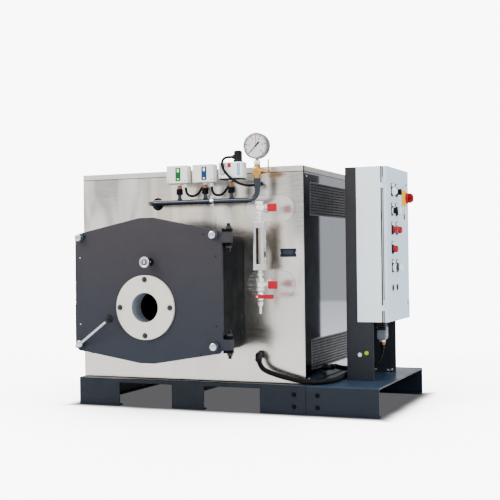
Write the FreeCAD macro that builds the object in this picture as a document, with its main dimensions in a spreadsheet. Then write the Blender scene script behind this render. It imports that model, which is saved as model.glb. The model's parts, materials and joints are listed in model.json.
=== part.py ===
import FreeCAD, Part
import math
import os
import Sketcher

# Packaged industrial boiler on a fork-lift skid, with its control cabinet on a post beside it.
# Millimetres. X runs to the right along the front, Y to the rear and Z up. Places are counted from
# the skid's front left corner on the floor, and every piece is then shifted so that the origin
# lies on the floor in the middle of the whole machine.

Vector = FreeCAD.Vector
TURN_TO = {
    "X": FreeCAD.Rotation(Vector(0, 1, 0), 90),
    "Y": FreeCAD.Rotation(Vector(1, 0, 0), -90),
    "Z": FreeCAD.Rotation(),
}
ROUTE_RADIUS_SHARE = 0.45

SIZES = {
    # machine
    "origin_x": 645, "origin_y": 388,
    # skid
    "skid_wide": 975, "skid_deep": 1000, "skid_tall": 110, "skid_sheet": 6, "skid_lip": 28,
    "skid_flange": 60, "foot_side": 184, "foot_middle": 139, "fork_tall": 93,
    "beam_wide": 60, "beam_tall": 50, "beam_wall": 4,
    "deck_wide": 282, "deck_deep": 703,
    # casing
    "casing_left": 3, "casing_right_margin": 12, "casing_setback": 37, "casing_tall": 806,
    "sheet": 2, "lid_tall": 20,
    "grille_front": 110, "grille_rear_margin": 73, "grille_high_base": 751, "grille_high_tall": 127,
    "grille_low_base": 157, "grille_low_tall": 116,
    # furnace front
    "body_left": 107, "body_wide": 610, "body_base": 244, "body_tall": 433, "body_round": 30,
    "body_reach": 214.5, "body_wall": 14, "tube_plate_inset": 78, "tube_plate_thick": 12,
    "furnace_radius": 150, "furnace_wall": 6, "furnace_long": 420, "furnace_height": 440,
    # burner door
    "door_over_left": 5, "door_over_right": 8, "door_thick": 12, "door_seal": 0.5,
    "door_side_inset_low": 14, "door_side_inset_high": 5, "door_corner_in": 14,
    "door_corner_drop": 18, "door_rise_high": 68, "door_rise_low": 48, "door_flat": 60,
    "door_hole_radius": 72,
    "lining_gap": 14, "lining_thick": 52,
    "burner_left_of_centre": 2, "burner_above_base": 163, "flange_radius": 121.5, "flange_thick": 10,
    "burner_radius": 56, "flange_bolt_circle": 211, "flange_bolt_radius": 8, "flange_bolt_tall": 11,
    "nut_in_left": 27, "nut_in_right": 29, "nut_in_high": 2, "nut_in_low": 22,
    "nut_radius": 14, "nut_tall": 12, "spacer_radius": 16, "spacer_tall": 14,
    "sight_right_of_centre": 18, "sight_above_base": 334, "sight_radius": 15, "sight_long": 36, "sight_rim_radius": 21,
    "sight_rim_tall": 14, "sight_bore": 11,
    "lever_rise": 34, "lever_arm": 178, "lever_tail": 24, "lever_rod": 5.5, "lever_out": 30,
    "lever_knob": 15, "lever_hub_radius": 15, "lever_hub_tall": 24,
    # door hinges
    "hinge_out": 15, "hinge_behind": 18, "hinge_pin_radius": 7, "hinge_clear": 0.3,
    "hinge_ear_tall": 12, "hinge_gap": 40, "hinge_half": 12, "hinge_over_high": 21,
    "hinge_in_low": 4, "hinge_pin_over": 20, "hinge_nut_radius": 12, "hinge_nut_tall": 9,
    "hinge_slack": 0.5,
    # pressure manifold
    "pipe_radius": 10, "pipe_out": 87, "pipe_z": 807, "pipe_start_x": 348, "pipe_end_x": 822,
    "pipe_bend": 36, "pipe_top": 887,
    "switch_base": 877, "switch_tall": 70, "switch_wide": 88, "switch_deep": 44,
    "switch_left": 443, "switch_step": 110, "riser_radius": 7, "riser_nut_radius": 13,
    "riser_nut_tall": 22, "riser_nut_z": 836, "riser_first": 488, "riser_step": 109,
    "limiter_left": 664, "limiter_wide": 96, "limiter_deep": 52, "limiter_base": 885,
    "limiter_tall": 66, "plug_x": 722, "plug_wide": 26, "plug_deep": 30, "plug_tall": 44,
    "plug_gland_long": 12, "plug_gland_radius": 7, "plug_gland_z": 972,
    "union_radius": 13, "cock_radius": 19, "cock_long": 30, "cock_z": 913,
    "stem_radius": 7, "stem_long": 24, "cock_nut_radius": 11,
    "cock_lever_thick": 5, "cock_lever_wide": 9, "cock_lever_tall": 52, "lever_slack": 0.3,
    "gauge_radius": 49, "gauge_deep": 34, "gauge_z": 1008, "gauge_stem": 9,
    # water level gauge
    "level_x": 820, "level_out": 90, "level_high_z": 776, "level_low_z": 488, "valve_radius": 16,
    "valve_tall": 64, "valve_arm": 12, "glass_bar_wide": 49, "glass_bar_deep": 26,
    "glass_base": 542, "glass_top": 724, "glass_slot": 12, "glass_end": 24,
    "valve_stem_radius": 6, "valve_stem_long": 30, "handle_long": 38, "handle_wide": 30,
    "handle_thick": 14, "drain_z": 445, "drain_radius": 13, "drain_tall": 52, "drain_tip": 380,
    "drain_tip_radius": 6, "drain_boss": 12, "drain_lever_long": 72, "drain_lever_tall": 17,
    "drain_lever_thick": 10,
    "cover_x": 829, "cover_wide": 195, "cover_tall": 102,
    "plate_left": 868, "plate_wide": 64, "plate_base": 591, "plate_tall": 32,
    # conduits and cables
    "gland_in": 177, "gland_z": 220, "gland_long": 42, "conduit_radius": 10,
    "elbow_radius": 13, "elbow_bend": 16, "elbow_reach": 24,
    "side_gland_y": 276, "side_gland_z": 150,
    "post_gland_near": 409, "post_gland_far": 540, "post_gland_z": 128,
    "grommet_y": 300, "grommet_z": 140, "grommet_radius": 9, "grommet_long": 12,
    "loop_radius": 5, "loop_gland_radius": 8, "loop_gland_tall": 14, "loop_gland_in": 72,
    "loop_wide": 44, "case_gland_long": 10, "plug_case_x": 793, "plug_case_z": 872,
    # cabinet post
    "post_from_skid": 98, "post_front": 214, "post_deep": 345, "post_sheet": 5, "post_top": 936,
    "post_narrow": 45, "post_foot": 107, "post_step": 331,
    # control cabinet
    "cabinet_deep": 104, "cabinet_over": 1, "cabinet_base": 336, "cabinet_tall": 600, "cabinet_wall": 3, "door_gap": 4, "panel_thick": 13.8,
    "panel_wall": 2, "plate_stand": 12, "plate_thick": 3, "plate_margin": 28,
    "cabinet_hinge_in": 44, "cabinet_hinge_out": 3.3, "knuckle_radius": 3, "knuckle_tall": 20,
    "leaf_long": 12, "leaf_thick": 2, "wire_radius": 1.5, "wire_clear": 0.2,
    "control_y": 291, "control_step_y": 67, "control_wide": 30, "control_tall": 50,
    "control_proud": 4, "knob_radius": 14, "knob_long": 20, "knob_drop": 6,
    "switch_plate_y": 450, "switch_plate_z": 792, "switch_plate_size": 63, "switch_plate_proud": 12,
    "rotary_radius": 21, "rotary_hub": 8, "rotary_long": 28, "rotary_wide": 16,
    "hood_wide": 46, "hood_deep": 62, "hood_tall": 78, "hood_in": 67, "hood_y": 330,
    "hood_gland_radius": 13, "hood_gland_tall": 20, "lead_radius": 5,
    # rear connections
    "flue_radius": 90, "flue_wall": 3, "flue_long": 55, "flue_z": 640,
    "stub_radius": 30, "stub_wall": 4, "stub_long": 40, "stub_z": 300, "stub_spread": 220,
    "stub_flange_radius": 62, "stub_flange_thick": 14,
}

CONTROL_ROWS = {
    "first": (823, 2), "second": (747, 2), "third": (673, 2), "fourth": (598, 1), "fifth": (526, 2),
}


class Size:
    """A length that knows its number and the spreadsheet formula that gives it."""

    def __init__(self, value, formula):
        self.value = value
        self.formula = formula

    def join(self, sign, other, value):
        return Size(value, "(%s %s %s)" % (self.formula, sign, as_size(other).formula))

    def __add__(self, other):
        return self.join("+", other, self.value + as_size(other).value)

    def __sub__(self, other):
        return self.join("-", other, self.value - as_size(other).value)

    def __mul__(self, other):
        return self.join("*", other, self.value * as_size(other).value)

    def __truediv__(self, other):
        return self.join("/", other, self.value / as_size(other).value)

    def __radd__(self, other):
        return as_size(other) + self

    def __rsub__(self, other):
        return as_size(other) - self

    def __rmul__(self, other):
        return as_size(other) * self

    def __neg__(self):
        return as_size(0) - self


def as_size(number):
    if isinstance(number, Size):
        return number
    return Size(float(number), repr(float(number)))


class Sheet:
    """The driving dimensions as attributes, each bound to its cell's alias."""

    def __init__(self, document, sizes):
        self.cells = document.addObject("Spreadsheet::Sheet", "dims")
        self.sizes = sizes
        for row, (alias, number) in enumerate(sizes.items(), 1):
            self.cells.set("A%d" % row, alias)
            self.cells.set("B%d" % row, str(number))
            self.cells.setAlias("B%d" % row, alias)

    def __getattr__(self, alias):
        return Size(float(self.sizes[alias]), "dims." + alias)


def follow(d):
    """Sizes and places that follow from the driving dimensions."""
    d.casing_wide = d.skid_wide - d.casing_left - d.casing_right_margin
    d.casing_deep = d.skid_deep - 2 * d.casing_setback
    d.body_centre = d.body_left + d.body_wide / 2
    body_right = d.body_left + d.body_wide
    body_top = d.body_base + d.body_tall
    d.door_left = d.body_left - d.door_over_left
    d.door_right = body_right + d.door_over_right
    d.door_back = d.body_reach + d.door_seal
    d.door_side_base = d.body_base + d.door_side_inset_low
    d.door_side_top = body_top - d.door_side_inset_high
    d.door_apex = body_top + d.door_rise_high
    d.door_nadir = d.body_base - d.door_rise_low
    d.burner_x = d.body_centre - d.burner_left_of_centre
    d.burner_z = d.body_base + d.burner_above_base
    d.nut_left = d.door_left + d.nut_in_left
    d.nut_right = d.door_right - d.nut_in_right
    d.nut_top = body_top - d.nut_in_high
    d.nut_bottom = d.body_base + d.nut_in_low
    d.sight_x = d.body_centre + d.sight_right_of_centre
    d.sight_z = d.body_base + d.sight_above_base
    d.hinge_x = d.door_right + d.hinge_out
    d.hinge_back = d.door_back - d.hinge_behind
    hinge_tall = 2 * d.hinge_ear_tall + d.hinge_gap
    d.hinge_high_base = body_top + d.hinge_over_high - hinge_tall
    d.hinge_low_base = d.body_base - d.hinge_in_low
    d.post_x = d.skid_wide + d.post_from_skid
    d.cabinet_x = d.post_x + d.post_narrow
    d.cabinet_front = d.post_front - d.cabinet_over
    d.cabinet_wide = d.post_deep + d.cabinet_over
    d.hood_x = d.cabinet_x + d.hood_in


doc = FreeCAD.newDocument("boiler")
d = Sheet(doc, SIZES)
follow(d)
doc.recompute()
parts = []


def bind(thing, field, size):
    thing.setExpression(field, as_size(size).formula)


def put(thing, place, turn="Z"):
    """Seat a piece at a place counted from the skid's front left corner."""
    thing.Placement.Rotation = TURN_TO[turn]
    shift = (d.origin_x, d.origin_y, as_size(0))
    for letter, size, back in zip("xyz", place, shift):
        bind(thing, "Placement.Base." + letter, as_size(size) - back)


def box(name, low, size):
    thing = doc.addObject("Part::Box", name)
    for field, length in zip(("Length", "Width", "Height"), size):
        bind(thing, field, length)
    put(thing, low)
    return thing


def rod(name, axis, start, radius, length):
    """A round bar that begins at start and runs along +axis."""
    thing = doc.addObject("Part::Cylinder", name)
    bind(thing, "Radius", radius)
    bind(thing, "Height", length)
    put(thing, start, axis)
    return thing


def hexagon(name, axis, start, radius, length):
    """A hexagon bar across its corners, that begins at start and runs along +axis."""
    thing = doc.addObject("Part::Prism", name)
    thing.Polygon = 6
    bind(thing, "Circumradius", radius)
    bind(thing, "Height", length)
    put(thing, start, axis)
    return thing


def ball(name, centre, radius):
    thing = doc.addObject("Part::Sphere", name)
    bind(thing, "Radius", radius)
    put(thing, centre)
    return thing


def fuse(name, things):
    if len(things) == 1:
        things[0].Label = name
        return things[0]
    whole = doc.addObject("Part::MultiFuse", name)
    whole.Shapes = things
    return whole


def cut(name, base, tools):
    tool = fuse(name + "_tool", tools) if len(tools) > 1 else tools[0]
    rest = doc.addObject("Part::Cut", name)
    rest.Base = base
    rest.Tool = tool
    return rest


def group(name, things):
    """Separate solids of one kind that share a node."""
    whole = doc.addObject("Part::Compound", name)
    whole.Links = things
    return whole


def outline(name, plane, corners, length, place):
    """A plate padded from a closed outline, each corner held by two bound distances."""
    body = doc.addObject("PartDesign::Body", name)
    sketch = body.newObject("Sketcher::SketchObject", name + "_outline")
    origin_plane = [f for f in body.Origin.OriginFeatures if f.Role == plane][0]
    sketch.AttachmentSupport = [(origin_plane, "")]
    sketch.MapMode = "FlatFace"
    points = [Vector(as_size(a).value, as_size(b).value, 0) for a, b in corners]
    for start, end in zip(points, points[1:] + points[:1]):
        sketch.addGeometry(Part.LineSegment(start, end), False)
    count = len(points)
    for side in range(count):
        sketch.addConstraint(Sketcher.Constraint("Coincident", side, 2, (side + 1) % count, 1))
    for side, (across, up) in enumerate(corners):
        for kind, size in (("DistanceX", across), ("DistanceY", up)):
            size = as_size(size)
            index = sketch.addConstraint(Sketcher.Constraint(kind, -1, 1, side, 1, size.value))
            sketch.setExpression("Constraints[%d]" % index, size.formula)
    pad = body.newObject("PartDesign::Pad", name + "_pad")
    pad.Profile = sketch
    pad.Reversed = plane == "XZ_Plane"
    bind(pad, "Length", length)
    body.Tip = pad
    put(body, place)
    return body


def rounded_slab(name, low, size, round_radius):
    """A slab whose four edges along Y are rounded."""
    x, y, z = [as_size(number) for number in low]
    wide, deep, tall = [as_size(number) for number in size]
    r = as_size(round_radius)
    pieces = [
        box(name + "_wide", (x, y, z + r), (wide, deep, tall - 2 * r)),
        box(name + "_tall", (x + r, y, z), (wide - 2 * r, deep, tall)),
    ]
    for side, across in (("left", x + r), ("right", x + wide - r)):
        for end, up in (("low", z + r), ("high", z + tall - r)):
            pieces.append(rod("%s_%s_%s" % (name, side, end), "Y", (across, y, up), r, deep))
    whole = fuse(name, pieces)
    whole.Refine = True
    return whole


def obround(name, low, size):
    """A flat plate with round ends, lying in the X-Z plane."""
    x, y, z = [as_size(number) for number in low]
    wide, deep, tall = [as_size(number) for number in size]
    r = tall / 2
    pieces = [
        box(name + "_middle", (x + r, y, z), (wide - tall, deep, tall)),
        rod(name + "_left", "Y", (x + r, y, z + r), r, deep),
        rod(name + "_right", "Y", (x + wide - r, y, z + r), r, deep),
    ]
    return fuse(name, pieces)


def bent_wire(points, radius=None):
    """Straight runs joined by tangent arcs. Without a radius each arc is as large as its runs allow."""
    edges = []
    radii = []
    here = points[0]
    for before, corner, after in zip(points, points[1:], points[2:]):
        arrive = (corner - before)
        leave = (after - corner)
        half_turn = arrive.getAngle(leave) / 2
        reach = ROUTE_RADIUS_SHARE * min(arrive.Length, leave.Length)
        bend = radius if radius else reach / math.tan(half_turn)
        reach = bend * math.tan(half_turn)
        arrive.normalize()
        leave.normalize()
        start = corner - arrive * reach
        end = corner + leave * reach
        towards = leave - arrive
        towards.normalize()
        centre = corner + towards * (bend / math.cos(half_turn))
        middle = centre - towards * bend
        edges.append(Part.LineSegment(here, start).toShape())
        edges.append(Part.Arc(start, middle, end).toShape())
        radii.append(round(bend, 1))
        here = end
    edges.append(Part.LineSegment(here, points[-1]).toShape())
    return Part.Wire(edges), radii


def tube(name, route, tube_radius, bend_radius=None):
    """A round pipe or cord along a route of (x, y, z) sizes, as one feature."""
    points = [Vector(*[as_size(number).value for number in point]) for point in route]
    bend = as_size(bend_radius).value if bend_radius else None
    wire, radii = bent_wire(points, bend)
    first_run = points[1] - points[0]
    section = Part.Wire([Part.Circle(points[0], first_run, as_size(tube_radius).value).toShape()])
    thing = doc.addObject("Part::Feature", name)
    solid = wire.makePipeShell([section], True, False)
    expected = math.pi * as_size(tube_radius).value ** 2 * wire.Length
    print("%s: length %.0f mm, volume ratio %.4f, bend radii %s"
          % (name, wire.Length, abs(solid.Volume) / expected, radii))
    thing.Shape = solid
    put(thing, (0, 0, 0))
    return thing


def keep(name, thing):
    """Name a finished piece, so that it is written to its own file."""
    thing.Label = name
    parts.append(thing)
    return thing


def skid_rail(name, web_y, flange_y, lip_y):
    """A folded rail across the front or rear, with two fork cut-outs and lips under its feet."""
    fork_wide = (d.skid_wide - 2 * d.foot_side - d.foot_middle) / 2
    feet = (
        (as_size(0), d.foot_side),
        (d.foot_side + fork_wide, d.foot_middle),
        (d.skid_wide - d.foot_side, d.foot_side),
    )
    corners = [(0, 0)]
    for low, wide in feet:
        if low.value > 0:
            corners += [(low, d.fork_tall), (low, 0)]
        corners += [(low + wide, 0)]
        if low.value + wide.value < d.skid_wide.value:
            corners += [(low + wide, d.fork_tall)]
    corners += [(d.skid_wide, d.skid_tall), (0, d.skid_tall)]
    pieces = [outline(name + "_web", "XZ_Plane", corners, d.skid_sheet, (0, web_y, 0))]
    flange_size = (d.skid_wide, d.skid_flange - d.skid_sheet, d.skid_sheet)
    flange_z = d.skid_tall - d.skid_sheet
    pieces.append(box(name + "_flange", (0, flange_y, flange_z), flange_size))
    for number, (low, wide) in enumerate(feet):
        lip_size = (wide, d.skid_lip - d.skid_sheet, d.skid_sheet)
        pieces.append(box("%s_lip_%d" % (name, number), (low, lip_y, 0), lip_size))
    keep(name, fuse(name, pieces))


def skid():
    t = d.skid_sheet
    skid_rail("skid_front_rail", 0, t, t)
    rear = d.skid_deep
    skid_rail("skid_rear_rail", rear - t, rear - d.skid_flange, rear - d.skid_lip)
    sides = []
    web_long = d.skid_deep - 2 * t
    for side, web_x, lip_x, flange_x in (
        ("left", 0, t, t),
        ("right", d.skid_wide - t, d.skid_wide - d.skid_lip, d.skid_wide - d.skid_flange),
    ):
        name = "skid_side_" + side
        pieces = [
            box(name + "_web", (web_x, t, t), (t, web_long, d.skid_tall - 2 * t)),
            box(name + "_edge", (web_x, d.skid_lip, 0), (t, d.skid_deep - 2 * d.skid_lip, t)),
            box(name + "_lip", (lip_x, d.skid_lip, 0),
                (d.skid_lip - t, d.skid_deep - 2 * d.skid_lip, t)),
            box(name + "_top", (web_x, d.skid_flange, d.skid_tall - t),
                (t, d.skid_deep - 2 * d.skid_flange, t)),
            box(name + "_flange", (flange_x, d.skid_flange, d.skid_tall - t),
                (d.skid_flange - t, d.skid_deep - 2 * d.skid_flange, t)),
        ]
        sides.append(fuse(name, pieces))
    beam_x = d.skid_wide / 2 - d.beam_wide / 2
    beam_z = d.skid_tall - d.beam_tall
    beam_deep = d.skid_deep - 2 * d.skid_flange
    outer = box("beam_outer", (beam_x, d.skid_flange, beam_z),
                (d.beam_wide, beam_deep, d.beam_tall))
    inner = box("beam_inner", (beam_x + d.beam_wall, d.skid_flange - 1, beam_z + d.beam_wall),
                (d.beam_wide - 2 * d.beam_wall, beam_deep + 2, d.beam_tall - 2 * d.beam_wall))
    sides.append(cut("skid_middle_beam", outer, [inner]))
    keep("skid_members", group("skid_members", sides))
    x = d.skid_wide
    pieces = [
        box("deck_top", (x, 0, d.skid_tall - t), (d.deck_wide, d.deck_deep, t)),
        box("deck_front", (x, 0, 0), (d.deck_wide, t, d.skid_tall - t)),
        box("deck_rear", (x, d.deck_deep - t, 0), (d.deck_wide, t, d.skid_tall - t)),
        box("deck_front_lip", (x, t, 0), (d.deck_wide, d.skid_lip - t, t)),
        box("deck_rear_lip", (x, d.deck_deep - d.skid_lip, 0), (d.deck_wide, d.skid_lip - t, t)),
    ]
    keep("extension_deck", fuse("extension_deck", pieces))


def casing():
    s = d.sheet
    left = d.casing_left
    right = left + d.casing_wide
    front = d.casing_setback
    rear = front + d.casing_deep
    base = d.skid_tall
    panel = box("front_panel", (left, front, base), (d.casing_wide, s, d.casing_tall))
    window = rounded_slab("front_window", (d.body_left, front - 1, d.body_base),
                          (d.body_wide, s + 2, d.body_tall), d.body_round)
    pipe_hole = rod("pipe_hole", "Y", (d.pipe_start_x, front - 1, d.pipe_z), d.pipe_radius + 15,
                    s + 2)
    keep("casing_front", cut("casing_front", panel, [window, pipe_hole]))
    keep("casing_rear", box("casing_rear", (left, rear - s, base),
                            (d.casing_wide, s, d.casing_tall)))
    grille_long = d.casing_deep + front - d.grille_rear_margin - d.grille_front
    inner_deep = d.casing_deep - 2 * s
    for side, x in (("left", left), ("right", right - s)):
        name = "casing_" + side
        sheet_metal = box(name + "_sheet", (x, front + s, base), (s, inner_deep, d.casing_tall))
        holes = []
        grilles = []
        for level, low, tall in (("high", d.grille_high_base, d.grille_high_tall),
                                 ("low", d.grille_low_base, d.grille_low_tall)):
            holes.append(box("%s_hole_%s" % (name, level), (x - 1, d.grille_front, low),
                             (s + 2, grille_long, tall)))
            grilles.append(box("grille_%s_%s" % (side, level), (x, d.grille_front, low),
                               (s, grille_long, tall)))
        keep(name, cut(name, sheet_metal, holes))
        keep("grilles_" + side, group("grilles_" + side, grilles))
    keep("casing_floor", box("casing_floor", (left + s, front + s, base),
                             (d.casing_wide - 2 * s, inner_deep, s)))
    lid_z = base + d.casing_tall
    outer = box("lid_outer", (left, front, lid_z), (d.casing_wide, d.casing_deep, d.lid_tall + 1))
    inner = box("lid_inner", (left + s, front + s, lid_z - 1),
                (d.casing_wide - 2 * s, inner_deep, d.lid_tall + 2 - s))
    keep("casing_lid", cut("casing_lid", outer, [inner]))


def furnace_front():
    front = d.casing_setback - d.body_reach
    deep = d.body_reach + d.sheet
    w = d.body_wall
    outer = rounded_slab("body_outer", (d.body_left, front, d.body_base),
                         (d.body_wide, deep, d.body_tall), d.body_round)
    inner = rounded_slab("body_inner", (d.body_left + w, front - 1, d.body_base + w),
                         (d.body_wide - 2 * w, deep + 2, d.body_tall - 2 * w), d.body_round - w)
    keep("furnace_body", cut("furnace_body", outer, [inner]))
    plate_y = front + d.tube_plate_inset
    centre_x = d.body_centre
    tube_outer = d.furnace_radius + d.furnace_wall
    plate = rounded_slab("tube_plate_blank", (d.body_left + w, plate_y, d.body_base + w),
                         (d.body_wide - 2 * w, d.tube_plate_thick, d.body_tall - 2 * w),
                         d.body_round - w)
    start = plate_y + d.tube_plate_thick
    shell = rod("furnace_shell", "Y", (centre_x, start, d.furnace_height), tube_outer,
                d.furnace_long)
    bore = rod("furnace_bore", "Y", (centre_x, plate_y - 1, d.furnace_height), d.furnace_radius,
               d.tube_plate_thick + d.furnace_long + 1 - d.furnace_wall)
    keep("furnace_chamber", cut("furnace_chamber", fuse("furnace_solid", [plate, shell]), [bore]))


def burner_door():
    left = d.door_left
    right = d.door_right
    middle = (left + right) / 2
    near = d.door_corner_in
    drop = d.door_corner_drop
    half = d.door_flat / 2
    face = d.casing_setback - d.door_back - d.door_thick
    corners = [
        (left, d.door_side_base), (left + near, d.door_side_base - drop),
        (middle - half, d.door_nadir), (middle + half, d.door_nadir),
        (right - near, d.door_side_base - drop), (right, d.door_side_base),
        (right, d.door_side_top), (right - near, d.door_side_top + drop),
        (middle + half, d.door_apex), (middle - half, d.door_apex),
        (left + near, d.door_side_top + drop), (left, d.door_side_top),
    ]
    plate = outline("door_blank", "XZ_Plane", corners, d.door_thick, (0, face, 0))
    lugs = [plate]
    hinge_y = d.casing_setback - d.hinge_back
    lug_deep = hinge_y + d.hinge_half - face
    holes = [rod("door_hole", "Y", (d.burner_x, face - 1, d.burner_z), d.door_hole_radius,
                 d.door_thick + 2)]
    for level, low in (("high", d.hinge_high_base), ("low", d.hinge_low_base)):
        lug_z = low + d.hinge_ear_tall + d.hinge_slack
        lug_tall = d.hinge_gap - 2 * d.hinge_slack
        lugs.append(box("door_lug_" + level, (right, face, lug_z),
                        (d.hinge_x + d.hinge_half - right, lug_deep, lug_tall)))
        holes.append(rod("door_lug_hole_" + level, "Z", (d.hinge_x, hinge_y, lug_z - 1),
                         d.hinge_pin_radius + d.hinge_clear, lug_tall + 2))
    keep("burner_door", cut("burner_door", fuse("door_leaf", lugs), holes))
    gap = d.lining_gap + d.body_wall
    lining_y = face + d.door_thick
    lining = rounded_slab("lining_blank", (d.body_left + gap, lining_y, d.body_base + gap),
                          (d.body_wide - 2 * gap, d.lining_thick, d.body_tall - 2 * gap), 12)
    throat = rod("lining_throat", "Y", (d.burner_x, lining_y - 1, d.burner_z), d.door_hole_radius,
                 d.lining_thick + 2)
    keep("door_lining", cut("door_lining", lining, [throat]))
    disc = rod("flange_disc", "Y", (d.burner_x, face - d.flange_thick, d.burner_z),
               d.flange_radius, d.flange_thick)
    bore = rod("flange_bore", "Y", (d.burner_x, face - d.flange_thick - 1, d.burner_z),
               d.burner_radius, d.flange_thick + 2)
    keep("burner_flange", cut("burner_flange", disc, [bore]))
    bolts = []
    out = d.flange_bolt_circle / 2
    bolt_y = face - d.flange_thick - d.flange_bolt_tall
    for side, across, up in (("east", 1, 0), ("north", 0, 1), ("west", -1, 0), ("south", 0, -1)):
        bolts.append(hexagon("flange_bolt_" + side, "Y",
                             (d.burner_x + out * across, bolt_y, d.burner_z + out * up),
                             d.flange_bolt_radius, d.flange_bolt_tall))
    for name, x, z in (("high_left", d.nut_left, d.nut_top), ("high_right", d.nut_right, d.nut_top),
                       ("low_right", d.nut_right, d.nut_bottom)):
        spacer = rod("spacer_" + name, "Y", (x, face - d.spacer_tall, z), d.spacer_radius,
                     d.spacer_tall)
        nut = rod("nut_" + name, "Y", (x, face - d.spacer_tall - d.nut_tall, z), d.nut_radius,
                  d.nut_tall)
        bolts.append(fuse("door_nut_" + name, [spacer, nut]))
    keep("door_fasteners", group("door_fasteners", bolts))
    stalk = rod("sight_stalk", "Y", (d.sight_x, face - d.sight_long, d.sight_z), d.sight_radius,
                d.sight_long)
    rim = rod("sight_rim", "Y", (d.sight_x, face - d.sight_long - d.sight_rim_tall, d.sight_z),
              d.sight_rim_radius, d.sight_rim_tall)
    window = rod("sight_window", "Y",
                 (d.sight_x, face - d.sight_long - d.sight_rim_tall - 1, d.sight_z),
                 d.sight_bore, d.sight_rim_tall - 4)
    keep("sight_glass", cut("sight_glass", fuse("sight_body", [stalk, rim]), [window]))
    clamp_lever(face)


def clamp_lever(face):
    """The hand lever on the lower left door bolt. Its rod leans forward, clear of the flange."""
    hub = rod("lever_hub", "Y", (d.nut_left, face - d.lever_hub_tall - d.lever_slack, d.nut_bottom),
              d.lever_hub_radius, d.lever_hub_tall)
    start_y = face - d.lever_hub_tall / 2
    rise = math.radians(d.lever_rise.value)
    along = Vector(math.cos(rise), 0, math.sin(rise))
    middle = Vector(d.nut_left.value, start_y.value, d.nut_bottom.value)
    tip = middle + along * d.lever_arm.value - Vector(0, d.lever_out.value, 0)
    tail = middle - along * d.lever_tail.value
    bar = doc.addObject("Part::Feature", "lever_bar")
    reach = tip - middle
    radius = d.lever_rod.value
    long_rod = Part.makeCylinder(radius, reach.Length, middle, reach)
    tail_rod = Part.makeCylinder(radius, d.lever_tail.value, tail, along)
    bar.Shape = long_rod.fuse(tail_rod)
    put(bar, (0, 0, 0))
    knob = ball("lever_knob_ball", (tip.x, tip.y, tip.z), d.lever_knob)
    keep("clamp_lever", fuse("clamp_lever", [hub, bar, knob]))


def door_hinges():
    """Two brackets on the body's side, each with two ears and a pin through the door's lug."""
    inner = d.body_left + d.body_wide
    hinge_y = d.casing_setback - d.hinge_back
    front = hinge_y - d.hinge_half
    long = d.hinge_x + d.hinge_half - inner
    brackets = []
    for level, low in (("high", d.hinge_high_base), ("low", d.hinge_low_base)):
        total = 2 * d.hinge_ear_tall + d.hinge_gap
        pieces = [
            box("hinge_ear_low_" + level, (inner, front, low),
                (long, 2 * d.hinge_half, d.hinge_ear_tall)),
            box("hinge_ear_high_" + level, (inner, front, low + d.hinge_ear_tall + d.hinge_gap),
                (long, 2 * d.hinge_half, d.hinge_ear_tall)),
            box("hinge_back_" + level, (inner, hinge_y + d.hinge_half + 10, low),
                (d.hinge_half, 14, total)),
            box("hinge_arm_low_" + level, (inner, hinge_y + d.hinge_half, low),
                (d.hinge_half, 10, d.hinge_ear_tall)),
            box("hinge_arm_high_" + level,
                (inner, hinge_y + d.hinge_half, low + d.hinge_ear_tall + d.hinge_gap),
                (d.hinge_half, 10, d.hinge_ear_tall)),
            rod("hinge_pin_" + level, "Z", (d.hinge_x, hinge_y, low - d.hinge_pin_over),
                d.hinge_pin_radius, total + 2 * d.hinge_pin_over),
        ]
        for end, z in (("top", low + total), ("bottom", low - d.hinge_nut_tall)):
            pieces.append(hexagon("hinge_nut_%s_%s" % (end, level), "Z", (d.hinge_x, hinge_y, z),
                                  d.hinge_nut_radius, d.hinge_nut_tall))
        brackets.append(fuse("hinge_" + level, pieces))
    keep("door_hinges", group("door_hinges", brackets))


def manifold():
    """The pressure pipe from the casing to the gauge cock, with the switches that stand on it."""
    y = d.casing_setback - d.pipe_out
    z = d.pipe_z
    route = [
        (d.pipe_start_x, d.casing_setback + d.sheet, z), (d.pipe_start_x, y, z),
        (d.pipe_end_x - 10, y, z), (d.pipe_end_x - 10, y, d.pipe_top),
    ]
    bend = d.pipe_bend
    keep("manifold_pipe", tube("manifold_pipe", route, d.pipe_radius, bend))
    risers = []
    for number in range(3):
        x = d.riser_first + d.riser_step * number
        top = d.limiter_base if number == 2 else d.switch_base
        stem = rod("riser_stem_%d" % number, "Z", (x, y, z + d.pipe_radius), d.riser_radius,
                   top - z - d.pipe_radius)
        nut = hexagon("riser_nut_%d" % number, "Z", (x, y, d.riser_nut_z), d.riser_nut_radius,
                      d.riser_nut_tall)
        risers.append(fuse("riser_%d" % number, [stem, nut]))
    keep("switch_risers", group("switch_risers", risers))
    switches = []
    for number in range(2):
        x = d.switch_left + d.switch_step * number
        switches.append(box("pressure_switch_%d" % number,
                            (x, y - d.switch_deep / 2, d.switch_base),
                            (d.switch_wide, d.switch_deep, d.switch_tall)))
    keep("pressure_switches", group("pressure_switches", switches))
    limiter = box("limiter_case", (d.limiter_left, y - d.limiter_deep / 2, d.limiter_base),
                  (d.limiter_wide, d.limiter_deep, d.limiter_tall))
    plug = box("limiter_plug", (d.plug_x, y - d.plug_deep / 2, d.limiter_base + d.limiter_tall),
               (d.plug_wide, d.plug_deep, d.plug_tall))
    plug_gland = rod("plug_gland", "X", (d.plug_x - d.plug_gland_long, y, d.plug_gland_z),
                     d.plug_gland_radius, d.plug_gland_long)
    keep("pressure_limiter", fuse("pressure_limiter", [limiter, plug, plug_gland]))


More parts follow.
